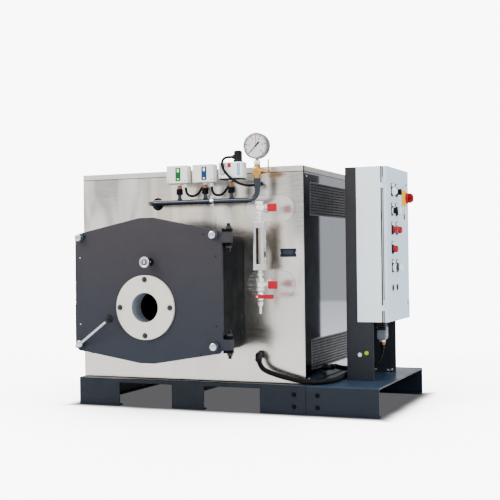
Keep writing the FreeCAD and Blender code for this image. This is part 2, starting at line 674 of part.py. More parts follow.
def gauge_and_cock():
    y = d.casing_setback - d.pipe_out
    x = d.pipe_end_x - 10
    gauge_base = d.gauge_z - d.gauge_radius
    neck_base = d.cock_z + d.cock_radius - 4
    pieces = [
        hexagon("cock_union", "Z", (x, y, d.pipe_top), d.union_radius,
                d.cock_z - d.cock_radius + 4 - d.pipe_top),
        rod("cock_body", "Y", (x, y - d.cock_long / 2, d.cock_z), d.cock_radius, d.cock_long),
        rod("cock_neck", "Z", (x, y, neck_base), d.gauge_stem, gauge_base - neck_base - 2),
        rod("cock_stem", "X", (x, y, d.cock_z), d.stem_radius, d.cock_radius + d.stem_long),
        hexagon("cock_stem_nut", "X", (x + d.cock_radius - 2, y, d.cock_z), d.cock_nut_radius, 14),
        hexagon("cock_neck_nut", "Z", (x, y, gauge_base - 20), d.union_radius, 16),
    ]
    keep("gauge_cock", fuse("gauge_cock", pieces))
    lever_x = x + d.cock_radius + d.stem_long + d.lever_slack
    lever = box("cock_lever", (lever_x, y - d.cock_lever_wide / 2, d.cock_z - 8),
                (d.cock_lever_thick, d.cock_lever_wide, d.cock_lever_tall))
    keep("cock_lever", lever)
    case = rod("gauge_case", "Y", (x, y - d.gauge_deep / 2, d.gauge_z), d.gauge_radius,
               d.gauge_deep)
    foot = rod("gauge_foot", "Z", (x, y, gauge_base - 2), d.gauge_stem, 8)
    keep("pressure_gauge", fuse("pressure_gauge", [case, foot]))


def level_gauge():
    front = d.casing_setback
    y = front - d.level_out
    x = d.level_x
    half = d.valve_tall / 2
    covers = []
    for level, z in (("high", d.level_high_z), ("low", d.level_low_z)):
        name = "level_cover_" + level
        covers.append(obround(name, (d.cover_x - d.cover_wide / 2, front - d.sheet,
                                     z - d.cover_tall / 2),
                              (d.cover_wide, d.sheet, d.cover_tall)))
    keep("cover_plates", group("cover_plates", covers))
    for level, z, low, high in (
        ("upper", d.level_high_z, d.glass_top, d.level_high_z + 0.75 * half),
        ("lower", d.level_low_z, d.level_low_z - half, d.glass_base),
    ):
        pieces = [
            rod("valve_arm_" + level, "Y", (x, y, z), d.valve_arm, d.level_out - d.sheet),
            rod("valve_column_" + level, "Z", (x, y, low), d.valve_radius, high - low),
            rod("valve_stem_" + level, "X", (x, y, z), d.valve_stem_radius, d.valve_stem_long),
        ]
        if level == "lower":
            drain_base = d.drain_z - d.drain_tall / 2
            boss_long = d.drain_radius + d.drain_boss
            pieces.append(rod("drain_body", "Z", (x, y, drain_base), d.drain_radius,
                              low - drain_base))
            pieces.append(rod("drain_tip", "Z", (x, y, d.drain_tip), d.drain_tip_radius,
                              drain_base - d.drain_tip))
            pieces.append(rod("drain_boss", "Y", (x, y - boss_long, d.drain_z),
                              d.valve_stem_radius, boss_long))
        keep("level_valve_" + level, fuse("level_valve_" + level, pieces))
        handle = box("level_handle_" + level,
                     (x + d.valve_stem_long + d.lever_slack, y - d.handle_thick / 2,
                      z - d.handle_wide / 2),
                     (d.handle_long, d.handle_thick, d.handle_wide))
        keep("level_handle_" + level, handle)
    bar = box("glass_bar", (x - d.glass_bar_wide / 2, y - d.glass_bar_deep / 2, d.glass_base),
              (d.glass_bar_wide, d.glass_bar_deep, d.glass_top - d.glass_base))
    slot = box("glass_slot", (x - d.glass_slot / 2, y - d.glass_bar_deep / 2 - 1,
                              d.glass_base + d.glass_end),
               (d.glass_slot, d.glass_bar_deep / 2,
                d.glass_top - d.glass_base - 2 * d.glass_end))
    keep("level_glass_holder", cut("level_glass_holder", bar, [slot]))
    lever_y = y - d.drain_radius - d.drain_boss - d.lever_slack - d.drain_lever_thick
    keep("drain_lever", box("drain_lever", (x - 8, lever_y, d.drain_z - d.drain_lever_tall / 2),
                            (d.drain_lever_long, d.drain_lever_thick, d.drain_lever_tall)))
    keep("nameplate", box("nameplate", (d.plate_left, front - 1, d.plate_base),
                          (d.plate_wide, 1, d.plate_tall)))


def cabinet_post():
    x = d.post_x
    t = d.post_sheet
    base = d.skid_tall
    keep("post_web", box("post_web", (x, d.post_front, base),
                         (t, d.post_deep, d.post_top - base)))
    narrow = d.post_narrow
    foot = d.post_foot
    legs = []
    for side, y in (("front", d.post_front), ("rear", d.post_front + d.post_deep - t)):
        corners = [
            (t, base), (foot, base), (foot, d.post_step), (narrow, d.post_step),
            (narrow, d.post_top), (t, d.post_top),
        ]
        legs.append(outline("post_leg_" + side, "XZ_Plane", corners, t, (x, y, 0)))
    keep("post_legs", group("post_legs", legs))


def control_cabinet():
    w = d.cabinet_wall
    x = d.cabinet_x
    y = d.cabinet_front
    z = d.cabinet_base
    wide = d.cabinet_wide
    tall = d.cabinet_tall
    outer = box("cabinet_outer", (x, y, z), (d.cabinet_deep, wide, tall))
    inner = box("cabinet_inner", (x + w, y + w, z + w),
                (d.cabinet_deep, wide - 2 * w, tall - 2 * w))
    box_knuckles, door_knuckles = cabinet_hinges(x + d.cabinet_deep)
    shell = cut("cabinet_shell", outer, [inner])
    keep("cabinet_box", fuse("cabinet_box", [shell] + box_knuckles))
    margin = d.plate_margin
    studs = []
    plate_x = x + w + d.plate_stand
    for low in (z + margin + 20, z + tall - margin - 20):
        for across in (y + margin + 20, y + wide - margin - 20):
            studs.append(rod("plate_stud_%d" % len(studs), "X", (x + w, across, low), 5,
                             d.plate_stand))
    plate = box("plate_blank", (plate_x, y + margin, z + margin),
                (d.plate_thick, wide - 2 * margin, tall - 2 * margin))
    keep("mounting_plate", fuse("mounting_plate", studs + [plate]))
    back = x + d.cabinet_deep + d.door_gap
    leaf = box("panel_outer", (back, y, z), (d.panel_thick, wide, tall))
    hollow = box("panel_inner", (back - 1, y + d.panel_wall, z + d.panel_wall),
                 (d.panel_thick + 1 - d.panel_wall, wide - 2 * d.panel_wall,
                  tall - 2 * d.panel_wall))
    tray = cut("door_tray", leaf, [hollow])
    keep("cabinet_door", fuse("cabinet_door", [tray] + door_knuckles))
    face = back + d.panel_thick
    size = d.switch_plate_size
    switch_plate = box("main_switch_plate", (face, d.switch_plate_y, d.switch_plate_z),
                       (d.switch_plate_proud, size, size))
    keep("door_controls", group("door_controls", door_controls(face) + [switch_plate]))
    centre_y = d.switch_plate_y + size / 2
    centre_z = d.switch_plate_z + size / 2
    out = face + d.switch_plate_proud + d.lever_slack
    hub = rod("rotary_disc", "X", (out, centre_y, centre_z), d.rotary_radius, d.rotary_hub)
    grip = box("rotary_grip", (out + d.rotary_hub, centre_y - d.rotary_wide / 2,
                               centre_z - d.rotary_radius),
               (d.rotary_long - d.rotary_hub, d.rotary_wide, 2 * d.rotary_radius))
    keep("main_switch_handle", fuse("main_switch_handle", [hub, grip]))
    hood_z = z - d.hood_tall
    hood = box("hood_block", (d.hood_x - d.hood_wide / 2, d.hood_y - d.hood_deep / 2, hood_z),
               (d.hood_wide, d.hood_deep, d.hood_tall))
    gland = rod("hood_gland", "Z", (d.hood_x, d.hood_y, hood_z - d.hood_gland_tall),
                d.hood_gland_radius, d.hood_gland_tall)
    keep("cabinet_connector", fuse("cabinet_connector", [hood, gland]))


def cabinet_hinges(front_face):
    """Slim hinges on the cabinet's front edge: a knuckle with a pin below, the door's above."""
    axis_x = front_face + d.door_gap / 2
    axis_y = d.cabinet_front - d.cabinet_hinge_out
    r = d.knuckle_radius
    half = d.knuckle_tall
    on_box = []
    on_door = []
    for end, low in (("low", d.cabinet_base + d.cabinet_hinge_in),
                     ("high", d.cabinet_base + d.cabinet_tall - d.cabinet_hinge_in - 2 * half)):
        high = low + half + d.hinge_slack
        leaf_size = (d.leaf_long, d.leaf_thick, half)
        leaf_y = d.cabinet_front - d.leaf_thick
        pin_tall = 2 * half - 2
        on_box.append(fuse("box_knuckle_" + end, [
            rod("box_barrel_" + end, "Z", (axis_x, axis_y, low), r, half),
            box("box_leaf_" + end, (front_face - d.leaf_long, leaf_y, low), leaf_size),
            rod("hinge_wire_" + end, "Z", (axis_x, axis_y, low), d.wire_radius, pin_tall),
        ]))
        upper = fuse("door_knuckle_solid_" + end, [
            rod("door_barrel_" + end, "Z", (axis_x, axis_y, high), r, half),
            box("door_leaf_" + end, (front_face + d.door_gap, leaf_y, high), leaf_size),
        ])
        bore = rod("door_barrel_bore_" + end, "Z", (axis_x, axis_y, high - 1),
                   d.wire_radius + d.wire_clear, half + 2)
        on_door.append(cut("door_knuckle_" + end, upper, [bore]))
    return on_box, on_door


def door_controls(face):
    """Label plates with a round push button, knob or lamp on each."""
    controls = []
    for row, (base, count) in CONTROL_ROWS.items():
        for column in range(count):
            name = "control_%s_%d" % (row, column)
            y = d.control_y + d.control_step_y * column
            plate = box(name + "_plate", (face, y - d.control_wide / 2, base),
                        (d.control_proud, d.control_wide, d.control_tall))
            knob_z = base + d.control_tall / 2 - d.knob_drop
            knob = rod(name + "_knob", "X", (face + d.control_proud, y, knob_z), d.knob_radius,
                       d.knob_long)
            controls.append(fuse(name, [plate, knob]))
    return controls


def elbow(name, wall, corner, mouth):
    """A conduit gland that turns its hose from a wall to another direction."""
    return tube(name, [wall, corner, mouth], d.elbow_radius, d.elbow_bend)


def cords():
    """Corrugated conduits on the deck, and the thin leads of the switches and the cabinet."""
    front = d.casing_setback
    side = d.casing_left + d.casing_wide
    web = d.post_x
    reach = d.elbow_reach
    post_x = web - reach
    post_z = d.post_gland_z
    rest = d.skid_tall + d.conduit_radius + 0.4
    gland_x = side - d.gland_in
    first = (gland_x, front - d.gland_long, d.gland_z)
    mouth = (gland_x + 7, front - d.gland_long, d.gland_z - reach)
    side_mouth = (side + reach, d.side_gland_y + reach, d.side_gland_z)
    near_mouth = (post_x, d.post_gland_near - reach, post_z)
    far_mouth = (post_x, d.post_gland_far - reach, post_z)
    elbows = [
        elbow("front_elbow", (gland_x, front, d.gland_z), first, mouth),
        elbow("side_elbow", (side, d.side_gland_y, d.side_gland_z),
              (side + reach, d.side_gland_y, d.side_gland_z), side_mouth),
        elbow("near_post_elbow", (web, d.post_gland_near, post_z),
              (post_x, d.post_gland_near, post_z), near_mouth),
        elbow("far_post_elbow", (web, d.post_gland_far, post_z),
              (post_x, d.post_gland_far, post_z), far_mouth),
    ]
    keep("conduit_elbows", group("conduit_elbows", elbows))
    conduit_route = [
        mouth, (side - 163, -5, 172), (side - 134, -4, 157), (side - 83, -2, 142),
        (side - 31, 4, 130), (side + 14, 16, rest + 1), (side + 53, 36, rest),
        (side + 79, 76, rest), (side + 89, 126, rest), (side + 90, 180, rest),
        (side + 87, 232, rest), (side + 83, 279, rest + 1), (side + 84, 318, rest + 4),
        (post_x, d.post_gland_near - reach - 33, post_z), near_mouth,
    ]
    keep("front_conduit", tube("front_conduit", conduit_route, d.conduit_radius))
    side_route = [
        side_mouth, (side + reach, 325, d.side_gland_z), (side + 26, 352, 145),
        (side + 32, 385, 137), (side + 45, 421, 131), (side + 67, 455, 128),
        (post_x, 488, post_z), far_mouth,
    ]
    keep("side_conduit", tube("side_conduit", side_route, d.conduit_radius))
    glands = switch_leads(front)
    lead_start = d.cabinet_base - d.hood_tall - d.hood_gland_tall
    inner_web = web + d.post_sheet
    glands.append(rod("lead_grommet", "X", (inner_web, d.grommet_y, d.grommet_z),
                      d.grommet_radius, d.grommet_long))
    keep("cable_glands", group("cable_glands", glands))
    lead_route = [
        (d.hood_x, d.hood_y, lead_start), (d.hood_x, d.hood_y, lead_start - 28),
        (d.hood_x - 8, d.hood_y - 4, lead_start - 56),
        (d.hood_x - 26, d.hood_y - 12, lead_start - 79),
        (d.hood_x - 48, d.hood_y - 22, lead_start - 92),
        (inner_web + d.grommet_long + 22, d.grommet_y, d.grommet_z),
        (inner_web + d.grommet_long, d.grommet_y, d.grommet_z),
    ]
    keep("connector_lead", tube("connector_lead", lead_route, d.lead_radius))


def switch_leads(front):
    """Each switch's gland and its short looping lead, and the lead of the limiter's plug."""
    y = front - d.pipe_out
    glands = []
    for number in range(2):
        x = d.switch_left + d.switch_step * number + d.loop_gland_in
        gland_z = d.switch_base - d.loop_gland_tall
        case_x = x + d.loop_wide
        case_y = front - d.case_gland_long
        case_z = gland_z + 4
        glands.append(rod("switch_gland_%d" % number, "Z", (x, y, gland_z), d.loop_gland_radius,
                          d.loop_gland_tall))
        glands.append(rod("case_gland_%d" % number, "Y", (case_x, case_y, case_z),
                          d.loop_gland_radius, d.case_gland_long))
        route = [
            (x, y, gland_z), (x, y, gland_z - 15), (x + 8, y + 6, gland_z - 31),
            (x + 25, y + 18, gland_z - 34), (x + 39, y + 33, gland_z - 22),
            (x + 44, y + 46, gland_z - 4), (case_x, case_y - 17, case_z),
            (case_x, case_y, case_z),
        ]
        name = "switch_lead_%d" % (number + 1)
        keep(name, tube(name, route, d.loop_radius))
    case_y = front - d.case_gland_long
    glands.append(rod("case_gland_plug", "Y", (d.plug_case_x, case_y, d.plug_case_z),
                      d.loop_gland_radius, d.case_gland_long))
    plug_end = d.plug_x - d.plug_gland_long
    route = [
        (plug_end, y, d.plug_gland_z), (plug_end - 13, y, d.plug_gland_z),
        (plug_end - 24, y - 15, d.plug_gland_z - 3), (683, -86, 953), (689, -93, 927),
        (709, -93, 900), (735, -88, 877), (762, -70, 863), (783, -43, 861),
        (791, case_y - 40, 868), (d.plug_case_x, case_y - 18, d.plug_case_z),
        (d.plug_case_x, case_y, d.plug_case_z),
    ]
    keep("plug_lead", tube("plug_lead", route, d.lead_radius))
    return glands


def rear_connections():
    rear = d.casing_setback + d.casing_deep
    x = d.casing_left + d.casing_wide / 2
    outer = rod("flue_outer", "Y", (x, rear, d.flue_z), d.flue_radius, d.flue_long)
    inner = rod("flue_inner", "Y", (x, rear - 1, d.flue_z), d.flue_radius - d.flue_wall,
                d.flue_long + 2)
    stubs = [cut("flue_spigot", outer, [inner])]
    for side, sign in (("flow", 1), ("return", -1)):
        at = x + d.stub_spread * sign
        neck = rod("stub_%s_neck" % side, "Y", (at, rear, d.stub_z), d.stub_radius, d.stub_long)
        ring = rod("stub_%s_ring" % side, "Y", (at, rear + d.stub_long, d.stub_z),
                   d.stub_flange_radius, d.stub_flange_thick)
        bore = rod("stub_%s_bore" % side, "Y", (at, rear + 2, d.stub_z),
                   d.stub_radius - d.stub_wall, d.stub_long + d.stub_flange_thick + 2)
        stubs.append(cut("stub_" + side, fuse("stub_%s_solid" % side, [neck, ring]), [bore]))
    keep("rear_connections", group("rear_connections", stubs))


skid()
casing()
furnace_front()
burner_door()
door_hinges()
manifold()
gauge_and_cock()
level_gauge()
cabinet_post()
control_cabinet()
cords()
rear_connections()
doc.recompute()

for thing in doc.Objects:
    if "Invalid" in thing.State or "Error" in thing.State:
        raise RuntimeError("%s did not build: %s" % (thing.Name, thing.State))
for thing in parts:
    if thing.Shape.isNull() or not thing.Shape.isValid():
        raise RuntimeError("%s has no valid shape" % thing.Label)

os.makedirs("parts", exist_ok=True)
for thing in parts:
    thing.Shape.exportStep("parts/%s.step" % thing.Label)
print(len(parts), "pieces written")
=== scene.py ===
"""Looks of a packaged boiler on a fork-lift skid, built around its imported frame."""

import json
from math import cos, pi, radians, sin

import bmesh
import bpy
from mathutils import Matrix, Vector


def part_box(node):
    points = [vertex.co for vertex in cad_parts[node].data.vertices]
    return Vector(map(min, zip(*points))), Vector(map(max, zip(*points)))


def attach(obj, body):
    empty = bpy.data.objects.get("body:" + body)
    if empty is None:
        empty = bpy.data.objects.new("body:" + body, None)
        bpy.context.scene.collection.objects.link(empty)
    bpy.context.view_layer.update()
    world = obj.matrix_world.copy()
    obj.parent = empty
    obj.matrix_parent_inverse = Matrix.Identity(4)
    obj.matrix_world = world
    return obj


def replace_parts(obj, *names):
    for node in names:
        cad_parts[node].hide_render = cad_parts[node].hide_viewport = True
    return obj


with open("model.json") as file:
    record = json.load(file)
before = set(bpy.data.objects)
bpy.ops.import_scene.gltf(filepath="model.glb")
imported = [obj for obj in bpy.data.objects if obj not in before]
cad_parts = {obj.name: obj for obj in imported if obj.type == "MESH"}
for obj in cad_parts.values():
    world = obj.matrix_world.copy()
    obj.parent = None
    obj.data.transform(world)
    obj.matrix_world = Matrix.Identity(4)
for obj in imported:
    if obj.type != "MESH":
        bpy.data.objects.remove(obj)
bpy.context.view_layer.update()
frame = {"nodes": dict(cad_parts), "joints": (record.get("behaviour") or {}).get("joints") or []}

MM = 0.001
X = Vector((1, 0, 0))
Y = Vector((0, 1, 0))
Z = Vector((0, 0, 1))


# ---------------------------------------------------------------- camera

CAMERA_PLACE = Vector((1.57396, -3.95232, 0.59689))
CAMERA_YAW = radians(22.28)
CAMERA_PITCH = radians(0.33)
CAMERA_ROLL = radians(-0.69)
CAMERA_LENS = 72.77
SENSOR = 36


def make_camera():
    """The camera, from its place, its three angles and its lens."""
    ahead = Vector((
        -sin(CAMERA_YAW) * cos(CAMERA_PITCH),
        cos(CAMERA_YAW) * cos(CAMERA_PITCH),
        sin(CAMERA_PITCH),
    ))
    level = ahead.cross(Z).normalized()
    upright = level.cross(ahead)
    right = level * cos(CAMERA_ROLL) + upright * sin(CAMERA_ROLL)
    top = -level * sin(CAMERA_ROLL) + upright * cos(CAMERA_ROLL)
    data = bpy.data.cameras.new("camera")
    data.lens = CAMERA_LENS
    data.sensor_width = SENSOR
    camera = bpy.data.objects.new("camera", data)
    turn = Matrix((right, top, -ahead)).transposed()
    camera.matrix_world = Matrix.Translation(CAMERA_PLACE) @ turn.to_4x4()
    bpy.context.scene.collection.objects.link(camera)
    bpy.context.scene.camera = camera


# ---------------------------------------------------------------- materials

class Tree:
    """A material's nodes, made one after another and joined as they are made."""

    def __init__(self, name):
        self.material = bpy.data.materials.new(name)
        self.material.use_nodes = True
        self.nodes = self.material.node_tree.nodes
        self.links = self.material.node_tree.links
        self.shader = self.nodes["Principled BSDF"]
        self.place = self.nodes.new("ShaderNodeTexCoord").outputs["Object"]

    def join(self, source, target):
        self.links.new(source, target)

    def height(self):
        parts = self.nodes.new("ShaderNodeSeparateXYZ")
        self.join(self.place, parts.inputs["Vector"])
        return parts.outputs["Z"]

    def noise(self, scale, stretch=(1, 1, 1), detail=3.0, distortion=0.0, lean=0):
        mapping = self.nodes.new("ShaderNodeMapping")
        mapping.inputs["Scale"].default_value = stretch
        mapping.inputs["Rotation"].default_value = (0, radians(lean), 0)
        self.join(self.place, mapping.inputs["Vector"])
        noise = self.nodes.new("ShaderNodeTexNoise")
        noise.inputs["Scale"].default_value = scale
        noise.inputs["Detail"].default_value = detail
        noise.inputs["Distortion"].default_value = distortion
        self.join(mapping.outputs["Vector"], noise.inputs["Vector"])
        return noise.outputs["Fac"]

    def spread(self, source, low, high, start=0.3, end=0.7):
        remap = self.nodes.new("ShaderNodeMapRange")
        remap.inputs["From Min"].default_value = start
        remap.inputs["From Max"].default_value = end
        remap.inputs["To Min"].default_value = low
        remap.inputs["To Max"].default_value = high
        self.join(source, remap.inputs["Value"])
        return remap.outputs["Result"]

    def mix(self, factor, first, second):
        mix = self.nodes.new("ShaderNodeMix")
        mix.data_type = "RGBA"
        self.join(factor, mix.inputs["Factor"])
        for socket, value in ((mix.inputs["A"], first), (mix.inputs["B"], second)):
            if isinstance(value, tuple):
                socket.default_value = (*value, 1)
            else:
                self.join(value, socket)
        return mix.outputs["Result"]

    def relief(self, source, distance, strength=1.0, under=None):
        bump = self.nodes.new("ShaderNodeBump")
        bump.inputs["Distance"].default_value = distance
        bump.inputs["Strength"].default_value = strength
        self.join(source, bump.inputs["Height"])
        if under is not None:
            self.join(under, bump.inputs["Normal"])
        return bump.outputs["Normal"]


def scaled(colour, share):
    return tuple(min(1.0, part * share) for part in colour)


def finish(name, colour, rough, metal=0.0, patch=14.0, change=0.06, grain=700.0, relief=0.03,
           stretch=(1, 1, 1), coat=0.0, rough_change=0.15, specular=0.5, foot=None,
           floor_shade_span=(0.20, 0.75)):
    """A surface whose colour, gloss and fine relief all vary. relief is in millimetres.

    With a foot colour, the finish runs to that colour towards the floor, as painted shade."""
    tree = Tree(name)
    clouds = tree.noise(patch, stretch)
    colours = tree.mix(tree.spread(clouds, 0, 1), scaled(colour, 1 - change),
                       scaled(colour, 1 + change))
    # painted shade: the colour runs to the foot colour towards the floor
    if foot is not None:
        colours = tree.mix(tree.spread(tree.height(), 0, 1, *floor_shade_span), foot, colours)
    fine = tree.noise(grain, stretch, detail=2.0)
    tree.join(colours, tree.shader.inputs["Base Color"])
    tree.join(tree.spread(clouds, rough * (1 + rough_change), rough * (1 - rough_change)),
              tree.shader.inputs["Roughness"])
    tree.join(tree.relief(fine, relief * MM), tree.shader.inputs["Normal"])
    tree.shader.inputs["Metallic"].default_value = metal
    tree.shader.inputs["Coat Weight"].default_value = coat
    tree.shader.inputs["Coat Roughness"].default_value = 0.12
    tree.shader.inputs["Specular IOR Level"].default_value = specular
    return tree.material


def sheet_steel(name, colour, rough, painted_reflection_and_shade=0.10, wave=0.5):
    """Bright sheet: soft upright clouds and tan patches, partly the sheet's own unevenness and
    partly painted reflections of the room, painted shade that darkens it towards the floor, a fine
    brushed grain and a slight waviness.
    """
    tree = Tree(name)
    clouds = tree.noise(5.0, (1.6, 1.6, 0.35), detail=2.0, distortion=0.9, lean=14)
    warmth = tree.noise(3.4, (1.3, 1.3, 0.6), detail=1.0, distortion=0.5, lean=-20)
    grain = tree.noise(16.0, (1, 1, 70), detail=4.0)
    # painted reflection, partly: light and dark upright clouds and tan patches in the colour
    broad = tree.mix(tree.spread(clouds, 0, 1, 0.40, 0.56), scaled(colour, 1 - painted_reflection_and_shade), colour)
    tan_steel = tuple(part * share for part, share in zip(colour, (0.96, 0.86, 0.74)))
    broad = tree.mix(tree.spread(warmth, 0, painted_reflection_and_shade, 0.5, 0.66), broad, tan_steel)
    # painted shade: the sheet runs darker towards the floor
    floor_shaded_steel = scaled(colour, 1 - 0.55 * painted_reflection_and_shade)
    broad = tree.mix(tree.spread(tree.height(), 0.95, 0, 0.12, 0.75), broad, floor_shaded_steel)
    fine = tree.mix(tree.spread(grain, 0, 0.5), broad, scaled(colour, 0.93))
    tree.join(fine, tree.shader.inputs["Base Color"])
    tree.join(tree.spread(grain, rough * 0.8, rough * 1.2), tree.shader.inputs["Roughness"])
    wavy = tree.relief(tree.noise(3.2, (1, 1, 0.5), detail=0.0), wave * MM)
    tree.join(tree.relief(grain, 0.008 * MM, under=wavy), tree.shader.inputs["Normal"])
    tree.shader.inputs["Metallic"].default_value = 1.0
    tree.shader.inputs["Anisotropic"].default_value = 0.4
    return tree.material


def clear_glass(name, tint):
    """Clear glass with faint smudges."""
    tree = Tree(name)
    smudge = tree.noise(60.0)
    tree.join(tree.mix(tree.spread(smudge, 0, 1), scaled(tint, 0.97), tint),
              tree.shader.inputs["Base Color"])
    tree.join(tree.spread(smudge, 0.01, 0.05), tree.shader.inputs["Roughness"])
    tree.shader.inputs["Transmission Weight"].default_value = 1.0
    tree.shader.inputs["IOR"].default_value = 1.2
    return tree.material


# painted reflection: the front sheet's strong clouds stand in for the room reflected in it
STEEL = sheet_steel("bright_sheet", (0.90, 0.865, 0.81), 0.21, painted_reflection_and_shade=0.62, wave=0.9)
STEEL_BACK = sheet_steel("bright_back_sheet", (0.88, 0.85, 0.80), 0.23, painted_reflection_and_shade=0.14, wave=0.6)
# painted shade and reflection: the right side is the same steel drawn darker and bluer
STEEL_SHADED_SIDE = sheet_steel("bright_sheet_painted_side_shade", (0.50, 0.535, 0.60), 0.06, painted_reflection_and_shade=0.05, wave=0.35)
COVER = sheet_steel("cover_plate_sheet", (0.84, 0.81, 0.77), 0.24, painted_reflection_and_shade=0.08, wave=0.1)
STEEL_PLAIN = finish("plain_sheet", (0.66, 0.66, 0.65), 0.28, metal=1.0, patch=25, change=0.1)
CASE_STEEL = finish("turned_case_steel", (0.30, 0.31, 0.33), 0.20, metal=1.0, patch=90,
                    change=0.15, relief=0.004)
POLISHED = finish("polished_steel", (0.66, 0.67, 0.68), 0.18, metal=1.0, relief=0.004)
SKID_PAINT = finish("slate_blue_paint", (0.0045, 0.0090, 0.0170), 0.36, coat=0.05, grain=420,
                    relief=0.02, change=0.12, specular=0.2)
# painted light: the deck's top is the skid's paint drawn lighter, as lit from above; its faces
# below the top run back to the skid's colour
DECK_PAINT_LIT_TOP = finish("slate_blue_paint_painted_lit_top", (0.018, 0.034, 0.062), 0.34, coat=0.05, grain=420,
                    relief=0.02, change=0.15, specular=0.2, foot=(0.0045, 0.0090, 0.0170),
                    floor_shade_span=(0.104, 0.109))
# painted shade: the door's paint runs darker and bluer towards the floor
DOOR_PAINT = finish("textured_charcoal_paint", (0.030, 0.026, 0.031), 0.50, grain=900,
                    relief=0.10, change=0.05, specular=0.22, foot=(0.013, 0.018, 0.028))
BLACK_PAINT = finish("satin_black_paint", (0.002, 0.003, 0.0045), 0.55, grain=600, relief=0.04,
                     change=0.15, specular=0.06)
SPACER_PAINT = finish("spacer_blue_black_paint", (0.010, 0.022, 0.042), 0.32, coat=0.1,
                      specular=0.3)
# painted shade: the post's paint runs darker and bluer towards the floor
POST_PAINT = finish("dark_grey_powder_coat", (0.020, 0.019, 0.022), 0.50, grain=900, relief=0.05,
                    specular=0.22, foot=(0.011, 0.014, 0.019))
CABINET_PAINT = finish("light_grey_powder_coat", (0.78, 0.86, 0.92), 0.42, grain=800,
                       relief=0.03, change=0.015, specular=0.4)
# painted shade: the door on the cabinet's right side is the cabinet's paint drawn darker and bluer
CABINET_SHADED_SIDE_PAINT = finish("light_grey_powder_coat_painted_side_shade", (0.56, 0.71, 0.84), 0.40, grain=800,
                            relief=0.03, change=0.015, specular=0.4)
FLANGE_PAINT = finish("zinc_primer", (0.64, 0.62, 0.56), 0.46, patch=40, change=0.04, grain=300,
                      relief=0.05)
BORE_PAINT = finish("turned_bore", (0.32, 0.37, 0.43), 0.35, metal=0.4, patch=30, change=0.15,
                    stretch=(1, 30, 1))
LINING = finish("ceramic_fibre_board", (0.66, 0.63, 0.57), 0.9, patch=60, change=0.1, grain=500,
                relief=0.4)
PIPE_PAINT = finish("gloss_blue_grey_paint", (0.010, 0.018, 0.030), 0.22, coat=0.2, grain=300,
                    relief=0.01, specular=0.35)
ZINC = finish("bright_zinc", (0.58, 0.61, 0.66), 0.19, metal=1.0, patch=120, change=0.10,
              grain=1500, relief=0.006)
NICKEL = finish("nickel_plated_casting", (0.95, 0.93, 0.90), 0.30, metal=0.6, patch=90,
                change=0.10, grain=900, relief=0.012)
BRASS = finish("machined_brass", (0.60, 0.34, 0.09), 0.26, metal=1.0, patch=80, change=0.14,
               grain=1200, relief=0.01)
COPPER = finish("dull_copper", (0.24, 0.105, 0.065), 0.34, metal=1.0, patch=90, change=0.22)
GALVANISED = finish("galvanised_sheet", (0.55, 0.565, 0.58), 0.40, metal=0.85, patch=45,
                    change=0.14, grain=500, relief=0.01)
BLACK_PLASTIC = finish("moulded_black_plastic", (0.003, 0.003, 0.0035), 0.40, grain=1500,
                       relief=0.02, change=0.2, specular=0.16)
RUBBER = finish("black_rubber", (0.0025, 0.0025, 0.003), 0.50, grain=1200, relief=0.03,
                change=0.25, specular=0.12)
LIGHT_PLASTIC = finish("moulded_light_grey_plastic", (0.78, 0.78, 0.73), 0.38, grain=1200,
                       relief=0.02, change=0.02)
SHADE_PLASTIC = finish("moulded_mid_grey_plastic", (0.30, 0.31, 0.315), 0.42, grain=1200,
                       relief=0.02, change=0.04)
WHITE_PLASTIC = finish("white_plastic", (0.88, 0.90, 0.91), 0.32, grain=1200, relief=0.01,
                       change=0.015)
RED_PLASTIC = finish("moulded_red_plastic", (0.36, 0.001, 0.012), 0.34, grain=900, relief=0.02,
                     change=0.10, specular=0.22)
DEEP_RED = finish("deep_red_plastic", (0.30, 0.001, 0.005), 0.32, grain=900, relief=0.02,
                  change=0.08, specular=0.2)
RED_LENS = finish("red_lens", (0.30, 0.002, 0.009), 0.20, grain=300, relief=0.02, change=0.12,
                  specular=0.3)
YELLOW = finish("yellow_plate", (0.85, 0.42, 0.0), 0.40, grain=900, relief=0.01, change=0.03,
                specular=0.15)
GREEN_LABEL = finish("green_label", (0.0, 0.105, 0.018), 0.45, change=0.05, specular=0.15)
BLUE_LABEL = finish("blue_label", (0.008, 0.035, 0.115), 0.45, change=0.05, specular=0.15)
NAMEPLATE = finish("blue_black_anodised_plate", (0.004, 0.009, 0.022), 0.34, metal=0.2,
                   change=0.15, specular=0.25)
DIAL = finish("white_dial", (0.97, 0.97, 0.96), 0.6, change=0.01, relief=0.0, specular=0.1)
INK = finish("black_ink", (0.003, 0.003, 0.004), 0.6, change=0.2, specular=0.05)
RED_INK = finish("orange_red_ink", (0.75, 0.10, 0.02), 0.4, change=0.05)
SIGHT_LENS = finish("sight_lens", (0.03, 0.05, 0.085), 0.15, change=0.1, specular=0.3)
EARTH = finish("yellow_green_earth_tag", (0.30, 0.48, 0.0), 0.4, change=0.1, specular=0.2)
TAN_SCALE = finish("tan_backing", (0.52, 0.40, 0.30), 0.5, change=0.05)
